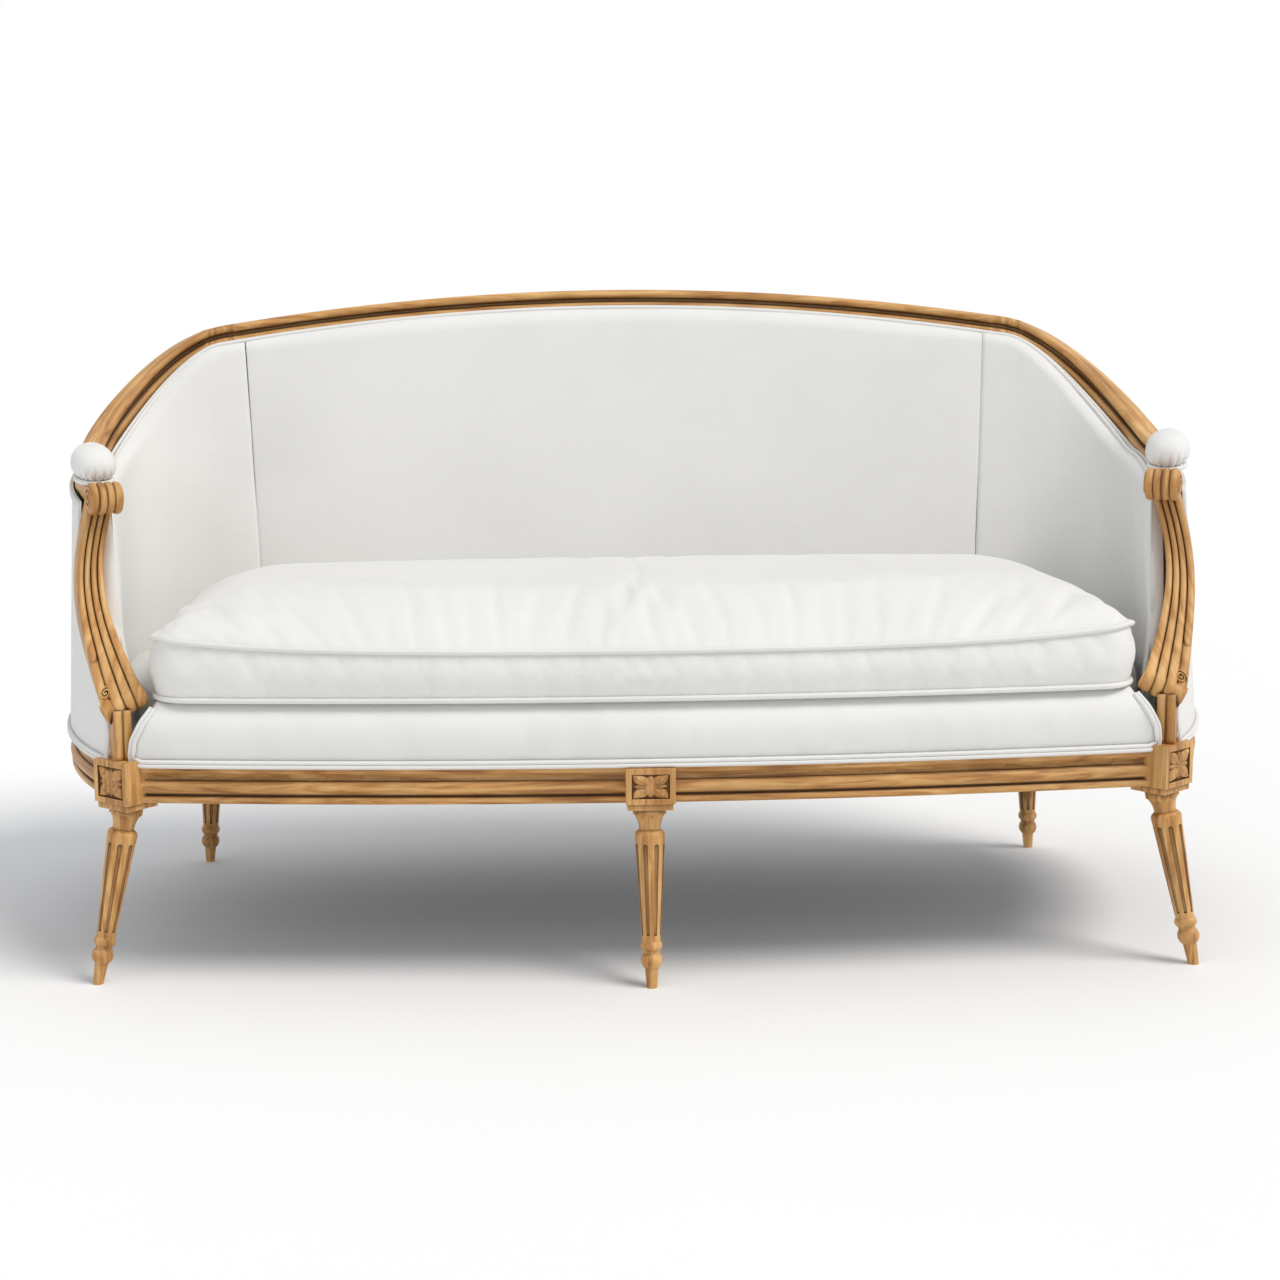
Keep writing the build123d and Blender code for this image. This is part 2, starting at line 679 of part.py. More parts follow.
def volute():
    """Reeded drum at the front of the arm, with its axis across the arm."""
    edge = VOLUTE_RADIUS - REED_SWELL
    outline = [(VOLUTE_WIDTH / 2, 0), (-VOLUTE_WIDTH / 2, 0)] + reeds(VOLUTE_WIDTH, edge, REED_SWELL)

    def place(along, radius):
        return VOLUTE_CENTRE + OUT * along + Vector(0, 0, radius)

    return Solid.revolve(Face(closed_wire(outline, place)), 360, Axis(VOLUTE_CENTRE, OUT))


def arm_rail():
    """Arm on the right: moulded from the stile to the pad, a plain bar under the pad, then the volute."""
    moulded = loft_round(lambda q: top_rail_outline(), top_place, spread(STILE_Q_WING, ARM_PAD_START, 7))
    bar = loft_round(lambda q: arm_bar_outline(), top_place, spread(ARM_PAD_START - 0.02, 3, 6))
    arm = moulded.fuse(bar, volute())
    return arm.cut(stub_tenon(support_seat(), JOINT_FIT), *head_dowels(JOINT_FIT)).solid()


def support_seat():
    """Where the support meets the underside of the arm."""
    spot = VOLUTE_CENTRE + BACK * SUPPORT_SET_BACK
    return Vector(spot.X, spot.Y, underside(q_before(3, SUPPORT_SET_BACK, TOP_LINE)))


SUPPORT_FOOT = (
    Vector(*POST, BLOCK_TOP + SUPPORT_FOOT_HEIGHT) - OUT * SUPPORT_FOOT_IN + BACK * (SUPPORT_FOOT_IN - 2)
)


def support_point(t):
    """Middle line of the whiplash, from its scrolled foot at 0 to the arm at 1."""
    bow = sin(pi * t)
    straight = SUPPORT_FOOT + (support_seat() - SUPPORT_FOOT) * t
    return straight + (OUT * SUPPORT_SWELL + BACK * SUPPORT_SWEEP) * bow


def support_across(t):
    """Direction of the support's width: level at the arm and tilting down outwards at the foot."""
    tilt = radians(SUPPORT_FOOT_TILT) * max(1 - t, 0) ** 3
    return OUT * cos(tilt) - Vector(0, 0, sin(tilt))


def support_place(t):
    step = 0.01
    along = support_point(t + step) - support_point(t - step)
    across = support_across(t)
    front = across.cross(along).normalized()
    return lambda wide, deep: support_point(t) + across * wide + front * deep


def support_width(t):
    return SUPPORT_TOP_WIDTH + (SUPPORT_FOOT_WIDTH - SUPPORT_TOP_WIDTH) * max(1 - t, 0) ** 3


def arm_support(arm):
    """Reeded whiplash with a rolled foot, on a post with a round tenon at each end."""
    half_depth = SUPPORT_DEPTH / 2

    def outline(t):
        half = support_width(t) / 2
        front = half_depth - REED_SWELL
        return [(half, -half_depth), (-half, -half_depth)] + reeds(support_width(t), front, REED_SWELL)

    wires = [closed_wire(outline(t), support_place(t)) for t in spread(0, 1.03, 6)]
    whip = Solid.make_loft(wires)
    across = support_across(0)
    roll_base = Plane(origin=SUPPORT_FOOT - across * (SUPPORT_FOOT_WIDTH / 2), z_dir=across)
    roll = Solid.make_cylinder(half_depth, SUPPORT_FOOT_WIDTH, roll_base)
    post_top = BLOCK_TOP + SUPPORT_FOOT_HEIGHT - half_depth / 2
    turn = degrees(atan2(OUT.Y, OUT.X))
    post = block(POST_WIDTH, POST_WIDTH, BLOCK_TOP, post_top, POST, turn)
    body = whip.fuse(roll, post).cut(arm)
    body = max(body.solids(), key=lambda solid: solid.volume)
    foot_pin = stub_tenon(Vector(*POST, BLOCK_TOP), 0)
    return body.fuse(foot_pin, stub_tenon(support_seat(), 0)).solid()


def support_clear():
    """Everything in front of the arm support's back and its post, which the wall's coverings leave free."""
    behind = -SUPPORT_DEPTH / 2 - CLEARANCE
    post = Vector(*POST, 0)

    def spot(back, height):
        return post + BACK * back + Vector(0, 0, height) - OUT * (1.5 * BLOCK_WIDTH)

    def whip_back(t):
        point = support_place(t)(support_width(t) / 2, behind)
        return spot((point - post).dot(BACK), point.Z)

    post_back = POST_WIDTH / 2 + 2 * CLEARANCE
    foot = spot(post_back, LEG_HEIGHT)
    heel = spot(post_back, SUPPORT_FOOT.Z - SUPPORT_FOOT_WIDTH / 2)
    whip = Edge.make_spline([whip_back(t) for t in spread(0, 1.05, 7)])
    front_top = spot(-3 * BLOCK_WIDTH, whip.position_at(1).Z)
    front_foot = spot(-3 * BLOCK_WIDTH, LEG_HEIGHT)
    corners = [whip.position_at(1), front_top, front_foot, foot, heel, whip.position_at(0)]
    lines = [Edge.make_line(a, b) for a, b in zip(corners, corners[1:])]
    return Solid.extrude(Face(Wire([whip] + lines)), OUT * (3 * BLOCK_WIDTH))


def grown_corner_block():
    return block(
        BLOCK_WIDTH + 2 * CLEARANCE,
        BLOCK_DEPTH + 2 * CLEARANCE,
        LEG_HEIGHT,
        BLOCK_TOP + CLEARANCE,
        CORNER_LEG,
        CORNER_TURN,
    )


def front_trimmed(shape):
    """The wall's coverings end behind the arm support and the corner block."""
    kept = shape.cut(support_clear(), grown_corner_block())
    return max(kept.solids(), key=lambda solid: solid.volume)


def pad_depth(q):
    """Stuffing is drawn in at the seams by the stiles."""
    return PAD_DEPTH - SEAM_DIP * max(0, 1 - abs(q - 1) / SEAM_REACH) ** 2


def pad_outline(q):
    """Stuffed wall: a flat back, a crowned face and a rounded top that tucks under the rail."""
    depth = pad_depth(q)
    base = DECK_BASE + CLEARANCE
    top = wall_top(seam_q(q, SEAM_TOP)) - PAD_TOP_GAP
    shoulder = top - 0.6 * depth
    return [
        (-PAD_BACK, top),
        (-PAD_BACK, base),
        (-PAD_BACK - 0.8 * depth, base),
        Via((-PAD_BACK - depth, base + 0.55 * (shoulder - base))),
        (-PAD_BACK - 0.85 * depth, shoulder),
        Via((-PAD_BACK - 0.65 * depth, top - 0.2 * depth)),
        (-PAD_BACK - 0.2 * depth, top),
    ]


def outside_outline(q):
    inner = OUTSIDE_INNER
    outer = OUTSIDE_INNER + OUTSIDE_THICKNESS
    base = RAIL_TOP + 4 * WELT_RADIUS + 2 * CLEARANCE
    top = wall_top(q) - PAD_TOP_GAP
    return [(inner, base), (outer, base), (outer, top), (inner, top)]


SEAM_GAP = 0.0006          # along the wall line, half the gap between a back and a wing
SEAT_WALL_INSET = PAD_BACK + PAD_DEPTH + DECK_WALL_GAP
SEAT_END_Q = 2.86          # along the wall line, where the deck turns in behind the arm support
DECK_FOOT_X = POST_X - 0.7 * POST_WIDTH
WING_RUNS = spread(1 + SEAM_GAP, SEAM_BLEND, 5), spread(SEAM_BLEND, 2, 4), spread(2, 3, 5)


def inside_back():
    half = 1 - SEAM_GAP
    dip = 1 - SEAM_REACH
    return loft_round(
        pad_outline, pad_place, spread(-half, -dip, 3), spread(-dip, dip, 5), spread(dip, half, 3)
    )


def inside_wing():
    """Stuffed wing; its lower front corner is cut away for the end of the deck."""
    pad = loft_round(pad_outline, pad_place, *WING_RUNS)
    return front_trimmed(pad.cut(deck_end()))


def deck_end():
    """Room for the end of the deck and the cushion's foot, inside a plumb plane beside the support."""
    wall_x, wall_y = LOW_LINE.point(SEAT_END_Q, -SEAT_WALL_INSET + DECK_END_GAP)
    outline = [
        (0, wall_y),
        (wall_x, wall_y),
        (DECK_FOOT_X + DECK_END_GAP, CORNER_LEG_Y),
        (DECK_FOOT_X + DECK_END_GAP, CORNER_LEG_Y - BLOCK_DEPTH),
        (0, CORNER_LEG_Y - BLOCK_DEPTH),
    ]
    base = Face(closed_wire(outline, lambda x, y: Vector(x, y, RAIL_TOP)))
    return Solid.extrude(base, Vector(0, 0, DECK_HEIGHT + 3 * CUSHION_WELT_RADIUS))


def outside_back():
    half = 1 - SEAM_GAP
    return loft_round(outside_outline, wall_place, spread(-half, half, 5))


def outside_wing():
    return front_trimmed(loft_round(outside_outline, wall_place, *WING_RUNS))


def double_cord_outline(out, base):
    """Two cords side by side, one over the other, sewn along their touching edges."""
    radius = WELT_RADIUS
    waist = radius * 0.5
    middle = base + 2 * radius
    return [
        (out - waist, base),
        (out + waist, base),
        Via((out + radius, base + radius)),
        (out + waist, middle),
        Via((out + radius, middle + radius)),
        (out + waist, middle + 2 * radius),
        (out - waist, middle + 2 * radius),
        Via((out - radius, middle + radius)),
        (out - waist, middle),
        Via((out - radius, base + radius)),
    ]


OUTSIDE_WELT_OUT = STILE_BACK + WELT_RADIUS * (1 + 4 * RAKE) + 2 * CLEARANCE


def outside_welt():
    outline = double_cord_outline(OUTSIDE_WELT_OUT, RAIL_TOP + CLEARANCE)
    return front_trimmed(low_bar(outline, 1 + SEAM_GAP, 3))


def outside_back_welt():
    outline = double_cord_outline(OUTSIDE_WELT_OUT, RAIL_TOP + CLEARANCE)
    return back_bar(outline, 1 - SEAM_GAP)


def seat_welt():
    """Double welt along the foot of the deck, on the front edge of the rail."""
    out = HALF_RAIL - DECK_FRONT_INSET + WELT_RADIUS + 2 * CLEARANCE
    end = CORNER_LEG_X - BLOCK_WIDTH / 2
    welt = front_bar(double_cord_outline(out, RAIL_TOP + CLEARANCE), -end, end)
    welt = welt.cut(grown_corner_block(), mirrored(grown_corner_block()))
    return max(welt.solids(), key=lambda solid: solid.volume)


def tack_outline(height):
    return [
        (-TACK_RAIL_FRONT, RAIL_TOP),
        (TACK_RAIL_BACK, RAIL_TOP),
        (TACK_RAIL_BACK, RAIL_TOP + height),
        (-TACK_RAIL_FRONT, RAIL_TOP + height),
    ]


def back_tack_rail():
    """Tacking rail on the rear rail, leaning with the stiles."""
    gap = JOINT_FIT / TOP_LINE.back.length
    half = STILE_Q_BACK - gap
    return loft_round(lambda q: tack_outline(TACK_RAIL_HEIGHT), wall_place, spread(-half, half, 5))


def side_tack_rail():
    first = STILE_Q_WING + JOINT_FIT / TOP_LINE.wing.corner_length
    last = q_before(3, 0.8 * BLOCK_WIDTH, LOW_LINE)
    runs = spread(first, 2, 5), spread(2, last, 4)
    return front_trimmed(loft_round(lambda q: tack_outline(TACK_RAIL_HEIGHT), wall_place, *runs))


def back_webbing():
    """Upright straps behind the inside back, from the tacking rail to the crest."""
    back = TACK_RAIL_FRONT + CLEARANCE
    front = back + STRAP_THICKNESS
    half = STRAP_WIDTH / 2 / TOP_LINE.back.length

    def strap(q):
        base = WEBBING_TOP + CLEARANCE
        top = underside(q) - CLEARANCE
        return [(-front, base), (-back, base), (-back, top), (-front, top)]

    reach = SEAM_LOW - 1.2 * half
    middles = spread(-reach, reach, BACK_STRAPS)
    return Compound([loft_round(strap, wall_place, [q - half, q + half]) for q in middles])


def seat_side(y):
    """Half width of the seat frame's side rail line at a depth."""
    wing = LOW_LINE.wing
    if y < wing.front_centre[1]:
        return wing.front_centre[0] + (wing.front_radius**2 - (y - wing.front_centre[1]) ** 2) ** 0.5
    return wing.corner_centre[0] + (wing.corner_radius**2 - (y - wing.corner_centre[1]) ** 2) ** 0.5


def front_y(x):
    return FRONT_ARC_CENTRE[1] - (FRONT_ARC_RADIUS**2 - x**2) ** 0.5


def back_y(x):
    line = LOW_LINE.back
    return line.centre[1] + (line.radius**2 - x**2) ** 0.5


STRAP_BEARING = HALF_RAIL - TACK_RAIL_FRONT - 4


def seat_webbing_crosswise():
    """Straps from the front rail to the rear rail."""
    reach = REAR_LEG_X - 1.5 * STRAP_WIDTH
    straps = []
    for x in spread(-reach, reach, SEAT_STRAPS):
        outer = abs(x) + STRAP_WIDTH / 2
        start = front_y(outer) + HALF_RAIL - STRAP_BEARING
        end = back_y(outer) - HALF_RAIL + STRAP_BEARING
        low = (x - STRAP_WIDTH / 2, start, RAIL_TOP)
        straps.append(Solid.make_box(STRAP_WIDTH, end - start, STRAP_THICKNESS).moved(Pos(*low)))
    return Compound(straps)


def seat_webbing_lengthwise():
    """Straps from side to side, over the crosswise ones."""
    first = CORNER_LEG_Y + 2 * BLOCK_DEPTH
    last = LOW_LINE.wing.corner_centre[1] + LOW_LINE.wing.corner_radius / 2
    straps = []
    for y in spread(first, last, LONG_STRAPS):
        narrower = min(seat_side(y - STRAP_WIDTH / 2), seat_side(y + STRAP_WIDTH / 2))
        half = narrower - HALF_RAIL + STRAP_BEARING
        low = (-half, y - STRAP_WIDTH / 2, RAIL_TOP + STRAP_THICKNESS)
        straps.append(Solid.make_box(2 * half, STRAP_WIDTH, STRAP_THICKNESS).moved(Pos(*low)))
    return Compound(straps)


def seat_wire(height, wall_inset, front_inset, corner_x, end_q):
    """Plan of the seat at a height: the bowed front, slanted ends, then round the wings and the back."""
    front_radius = FRONT_ARC_RADIUS + HALF_RAIL - front_inset
    corner_y = FRONT_ARC_CENTRE[1] - (front_radius**2 - corner_x**2) ** 0.5
    front_middle = FRONT_ARC_CENTRE[1] - front_radius

    def wall(q):
        return LOW_LINE.point(q, -wall_inset)

    def left(point):
        return -point[0], point[1]

    def left_via(q):
        return Via(left(wall(q)))

    outline = [
        (-corner_x, corner_y),
        Via((0, front_middle)),
        (corner_x, corner_y),
        wall(end_q),
        Via(wall((end_q + 2) / 2)),
        wall(2),
        Via(wall(1.5)),
        wall(1),
        Via(wall(0)),
        left(wall(1)),
        left_via(1.5),
        left(wall(2)),
        left_via((end_q + 2) / 2),
        left(wall(end_q)),
    ]
    return closed_wire(outline, lambda x, y: Vector(x, y, height))


def seat_hessian():
    """Cloth over the webbing, reaching on to the rails."""
    corner_x = CORNER_INNER_X - BLOCK_DEPTH / 4
    side_inset = HALF_RAIL - STRAP_BEARING
    front_inset = RAIL_THICKNESS - STRAP_BEARING
    wire = seat_wire(WEBBING_TOP, side_inset, front_inset, corner_x, SEAT_END_Q)
    sheet = Solid.extrude(Face(wire), Vector(0, 0, HESSIAN_THICKNESS))
    sheet = sheet.cut(grown_corner_block(), mirrored(grown_corner_block()))
    return max(sheet.solids(), key=lambda solid: solid.volume)


def seat_deck():
    """Stuffed deck with a rolled front edge; its ends slope in beside the arm supports."""
    top_x = CUSHION_HALF - DECK_ROLL / 4
    levels = [
        (0, 1, DECK_FOOT_X),
        (0.12, 1, DECK_FOOT_X),
        (0.4, -1, DECK_FOOT_X - 4),
        (0.7, 2, (DECK_FOOT_X + top_x) / 2),
        (0.9, DECK_ROLL * 0.35, top_x + 4),
        (1, DECK_ROLL, top_x),
    ]
    height = DECK_TOP - DECK_BASE
    wires = [
        seat_wire(
            DECK_BASE + height * share,
            SEAT_WALL_INSET + max(inset, 0) / 3,
            DECK_FRONT_INSET + inset,
            corner_x,
            SEAT_END_Q,
        )
        for share, inset, corner_x in levels
    ]
    deck = Solid.make_loft(wires).cut(grown_corner_block(), mirrored(grown_corner_block()))
    return max(deck.solids(), key=lambda solid: solid.volume)


def tangent_corner(line_point, line_way, centre, radius, corner):
    """Corner arc touching a straight side and the inside of a large arc: side point, bend, arc point."""
    inward = Vector(-line_way.Y, line_way.X)
    offset = line_point + inward * corner - Vector(*centre)
    along = offset.dot(line_way)
    reach = along**2 - offset.length**2 + (radius - corner) ** 2
    ahead = -along + reach**0.5
    middle = line_point + line_way * ahead + inward * corner
    spoke = (middle - Vector(*centre)).normalized()
    bend = (spoke - inward).normalized()
    return line_point + line_way * ahead, middle + bend * corner, middle + spoke * corner


def cushion_wire(height, inset):
    """Plan of the cushion drawn in by an inset: bowed front and back, straight sides, rounded corners."""
    tuck = max(0.2, 1 - inset / CUSHION_REAR_RADIUS)
    flare = radians(CUSHION_FLARE)
    back_way = Vector(sin(flare), cos(flare))
    side = Vector(CUSHION_HALF - inset / cos(flare), CORNER_LEG_Y)
    front_radius = FRONT_ARC_RADIUS + HALF_RAIL - CUSHION_FRONT_INSET - inset
    back_radius = LOW_LINE.back.radius - CUSHION_BACK_GAP - inset
    rear = tangent_corner(side, back_way, LOW_LINE.back.centre, back_radius, CUSHION_REAR_RADIUS * tuck)
    mirror_side = Vector(-side.X, side.Y)
    front_way = Vector(sin(flare), -cos(flare))
    front_corner = CUSHION_FRONT_RADIUS * tuck
    left = tangent_corner(mirror_side, front_way, FRONT_ARC_CENTRE, front_radius, front_corner)
    right_ring = [(-point.X, point.Y) for point in reversed(left)] + [(point.X, point.Y) for point in rear]
    left_ring = [(-x, y) for x, y in reversed(right_ring)]
    front_middle = (0, FRONT_ARC_CENTRE[1] - front_radius)
    back_middle = (0, LOW_LINE.back.centre[1] + back_radius)
    outline = [
        right_ring[0],
        Via(right_ring[1]),
        right_ring[2],
        right_ring[3],
        Via(right_ring[4]),
        right_ring[5],
        Via(back_middle),
        left_ring[0],
        Via(left_ring[1]),
        left_ring[2],
        left_ring[3],
        Via(left_ring[4]),
        left_ring[5],
        Via(front_middle),
    ]
    return closed_wire(outline, lambda x, y: Vector(x, y, height))


CUSHION_BASE = DECK_TOP + CLEARANCE
CUSHION_TOP = CUSHION_BASE + CUSHION_EDGE


def seat_cushion():
    """Loose box cushion: swelling sides, edges drawn in at the welts and a crowned top."""
    levels = [
        (CUSHION_BASE, 10),
        (CUSHION_BASE + 0.16 * CUSHION_EDGE, 3),
        (CUSHION_BASE + 0.5 * CUSHION_EDGE, -2),
        (CUSHION_BASE + 0.88 * CUSHION_EDGE, 3),
        (CUSHION_TOP + 0.05 * CUSHION_CROWN, 10),
        (CUSHION_TOP + 0.5 * CUSHION_CROWN, 42),
        (CUSHION_TOP + CUSHION_CROWN, 130),
    ]
    return Solid.make_loft([cushion_wire(height, inset) for height, inset in levels])


def cushion_welt(height):
    """Single welt round the cushion, standing just clear of the cover."""
    path = cushion_wire(height, CUSHION_WELT_INSET)
    start = path.position_at(0)
    section = Plane(origin=start, z_dir=path.tangent_at(0))
    return Solid.sweep(Wire.make_circle(CUSHION_WELT_RADIUS, section), path).solid()


def arm_pad():
    """Stuffed pad on the arm, drawn in at both ends."""
    last = q_before(3, VOLUTE_RADIUS + 2, TOP_LINE)
    stations = spread(ARM_PAD_START + 0.01, last, 6)
    shares = [0.72, 0.96, 1, 1, 0.98, 0.78]

    def outline(share):
        base = -ARM_BAR_DROP + 2 * CLEARANCE
        foot = ARM_PAD_FOOT_HALF * share
        half = ARM_PAD_HALF * share
        height = ARM_PAD_HEIGHT * share
        return [
            (-foot, base),
            (foot, base),
            Via((half, base + 0.3 * height)),
            (half * 0.9, base + 0.6 * height),
            Via((0, base + height)),
            (-half * 0.9, base + 0.6 * height),
            Via((-half, base + 0.3 * height)),
        ]

    return Solid.make_loft(
        [closed_wire(outline(share), top_place(q)) for q, share in zip(stations, shares)]
    )


def seat_brace():
    """Bar from the middle leg's block to the rear rail, under the webbing."""
    start = FRONT_RAIL_Y + BLOCK_DEPTH / 2
    end = back_y(0) - HALF_RAIL - CLEARANCE
    top = RAIL_TOP - BRACE_DROP
    base = LEG_HEIGHT + BRACE_DROP
    return Solid.make_box(BRACE_WIDTH, end - start, top - base).moved(Pos(-BRACE_WIDTH / 2, start, base))


def corner_glue_blocks(front, side, rear, leg, stile):
    """Three-cornered blocks glued and screwed into the corners of the seat frame."""
    base = LEG_HEIGHT + BRACE_DROP
    height = RAIL_HEIGHT - 2 * BRACE_DROP
    reach = GLUE_BLOCK
    front_spot = (CORNER_LEG_X, CORNER_LEG_Y + HALF_RAIL)
    rear_spot = (REAR_LEG_X, REAR_LEG_Y)
    front_shape = [(-1.55, -0.9), (0.9, 0.9), (-0.25, 1.05), (-1.55, 0.12)]
    rear_shape = [(0.85, -0.95), (0.3, 0.35), (-1.2, 0.5), (-1.2, -0.1), (0.2, -1.05)]
    pieces = []
    for spot, shape, rails in (
        (front_spot, front_shape, (front, side, leg)),
        (rear_spot, rear_shape, (rear, side, stile)),
    ):
        outline = [(spot[0] + x * reach, spot[1] + y * reach) for x, y in shape]
        prism = Solid.extrude(
            Face(closed_wire(outline, lambda x, y: Vector(x, y, base))), Vector(0, 0, height)
        )
        solids = prism.cut(*rails).solids()
        pieces.append(max(solids, key=lambda solid: solid.volume))
    return Compound(pieces + [mirrored(piece) for piece in pieces])


def dust_cover():
    """Thin cloth tacked under the rails, cut out round the legs."""
    side_inset = HALF_RAIL - STRAP_BEARING
    front_inset = RAIL_THICKNESS - STRAP_BEARING
    base = LEG_HEIGHT - DUST_COVER_THICKNESS
    wire = seat_wire(base, side_inset, front_inset, CORNER_INNER_X, DUST_COVER_END_Q)
    sheet = Solid.extrude(Face(wire), Vector(0, 0, DUST_COVER_THICKNESS))
    holes = []
    for width, depth, centre, turn in (
        (BLOCK_WIDTH, BLOCK_DEPTH, CORNER_LEG, CORNER_TURN),
        (BLOCK_WIDTH, BLOCK_DEPTH, MIDDLE_BLOCK, 0),
        (REAR_BLOCK_WIDTH, REAR_BLOCK_DEPTH, REAR_LEG, -BACK_TURN),
    ):
        hole = block(width, depth, 0, LEG_HEIGHT + RAIL_HEIGHT, centre, turn)
        holes += [hole, mirrored(hole)]
    return max(sheet.cut(*holes).solids(), key=lambda solid: solid.volume)


def build():
    """Every node of the sofa by name, before it is centred on its origin."""
    nodes = {}

    def pair(name, shape):
        nodes[name + "_right"] = shape
        nodes[name + "_left"] = mirrored(shape)

    arm = arm_rail()
    crest = crest_rail()
    front = front_rail(1)
    side = side_rail()
    rear = rear_rail()
    leg = corner_leg()
    stile = rear_stile().cut(arm, crest).solid()
    pair("front_leg", leg)
    nodes["front_leg_middle"] = middle_leg()
    pair("rear_stile", stile)
    nodes["front_rail_right"] = front
    nodes["front_rail_left"] = front_rail(-1)
    pair("side_rail", side)
    nodes["rear_rail"] = rear
    nodes["crest_rail"] = crest
    pair("arm_rail", arm)
    pair("arm_support", arm_support(arm))
    nodes["seat_brace"] = seat_brace()
    nodes["back_tack_rail"] = back_tack_rail()
    pair("side_tack_rail", side_tack_rail())
    nodes["corner_blocks"] = corner_glue_blocks(front, side, rear, leg, stile)
    dowels = head_dowels(0)
    nodes["frame_dowels"] = Compound(dowels + [mirrored(dowel) for dowel in dowels])
    nodes["seat_webbing_crosswise"] = seat_webbing_crosswise()
    nodes["seat_webbing_lengthwise"] = seat_webbing_lengthwise()
    nodes["seat_hessian"] = seat_hessian()
    nodes["seat_deck"] = seat_deck()
    nodes["seat_welt"] = seat_welt()
    nodes["seat_cushion"] = seat_cushion()
    nodes["cushion_welt_top"] = cushion_welt(CUSHION_TOP - CUSHION_WELT_RADIUS / 2)
    nodes["cushion_welt_bottom"] = cushion_welt(CUSHION_BASE + CUSHION_WELT_RADIUS + CLEARANCE)
    nodes["inside_back"] = inside_back()
    pair("inside_wing", inside_wing())
    nodes["back_webbing"] = back_webbing()
    nodes["outside_back"] = outside_back()
    pair("outside_wing", outside_wing())
    nodes["outside_back_welt"] = outside_back_welt()
    pair("outside_wing_welt", outside_welt())
    pair("arm_pad", arm_pad())
    nodes["dust_cover"] = dust_cover()
    return nodes


nodes = build()
box = Compound(list(nodes.values())).bounding_box()
shift = Pos(0, -(box.min.Y + box.max.Y) / 2, 0)
os.makedirs("parts", exist_ok=True)
for name, shape in nodes.items():
    export_step(shape.moved(shift), "parts/" + name + ".step")
print("moved back by", round(-(box.min.Y + box.max.Y) / 2, 3), "mm to centre the sofa on its origin")
print("size", [round(side, 1) for side in (box.size.X, box.size.Y, box.size.Z)])
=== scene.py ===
from math import atan2, cos, exp, hypot, pi, radians, sin

import bmesh
import bpy
import numpy as np
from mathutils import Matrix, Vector, noise


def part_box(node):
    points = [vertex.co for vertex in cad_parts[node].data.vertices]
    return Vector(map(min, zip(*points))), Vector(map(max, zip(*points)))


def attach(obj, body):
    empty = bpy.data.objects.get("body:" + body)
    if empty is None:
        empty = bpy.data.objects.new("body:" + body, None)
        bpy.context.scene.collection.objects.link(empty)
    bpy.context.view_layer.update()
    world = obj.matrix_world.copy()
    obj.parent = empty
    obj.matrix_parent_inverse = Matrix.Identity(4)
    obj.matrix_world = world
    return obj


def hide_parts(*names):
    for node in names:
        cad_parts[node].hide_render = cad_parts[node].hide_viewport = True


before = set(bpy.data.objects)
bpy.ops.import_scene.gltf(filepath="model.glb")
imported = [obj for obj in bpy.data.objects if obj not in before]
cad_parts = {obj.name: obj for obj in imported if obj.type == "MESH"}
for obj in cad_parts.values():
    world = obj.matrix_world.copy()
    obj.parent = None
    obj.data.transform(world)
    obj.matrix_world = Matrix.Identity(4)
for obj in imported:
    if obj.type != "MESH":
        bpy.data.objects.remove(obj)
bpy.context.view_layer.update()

# Carved frame: rails, legs, stiles, crest, arms and arm supports
# Beech members shaped by hand, tenoned and dowelled together, then stained honey brown and waxed.
# Dark wax has stayed in the flutes, quirks and grooves, where painted shade darkens them further, and
# handling has worn the edges paler.
HONEY = (0.525, 0.268, 0.080)
PALE_HONEY = (0.69, 0.42, 0.165)
BROWN_HONEY = (0.315, 0.132, 0.035)
# The darkest brown stands for old wax, and in the grooves it is also painted shade.
WAX_AND_SHADE_DARK = (0.062, 0.024, 0.007)
CLOUD_DARK = (0.74, 0.66, 0.58)
CLOUD_PALE = (1.06, 1.03, 1.0)
# How far and how strongly the grooves darken: partly dark wax, partly painted shade.
GROOVE_REACH = 0.013
GROOVE_WAX_AND_SHADE = 0.9
EDGE_REACH = 0.003
EDGE_WEAR = 0.6
FLECKS = 0.45
GRAIN_FINE = 110
GRAIN_LONG = 7


class Graph:
    """A node tree in the making: each call adds a node and joins or sets its inputs."""

    def __init__(self, tree):
        self.tree = tree

    def join(self, socket, value):
        if isinstance(value, bpy.types.NodeSocket):
            self.tree.links.new(value, socket)
        else:
            socket.default_value = value

    def add(self, kind, inputs, out=0, **settings):
        node = self.tree.nodes.new(kind)
        for name, value in settings.items():
            setattr(node, name, value)
        for key, value in inputs.items():
            self.join(node.inputs[key], value)
        return node.outputs[out]

    def math(self, operation, first, second=0.0):
        return self.add("ShaderNodeMath", {0: first, 1: second}, operation=operation)

    def times(self, first, second):
        return self.math("MULTIPLY", first, second)

    def plus(self, first, second):
        return self.math("ADD", first, second)

    def minus(self, first, second):
        return self.math("SUBTRACT", first, second)


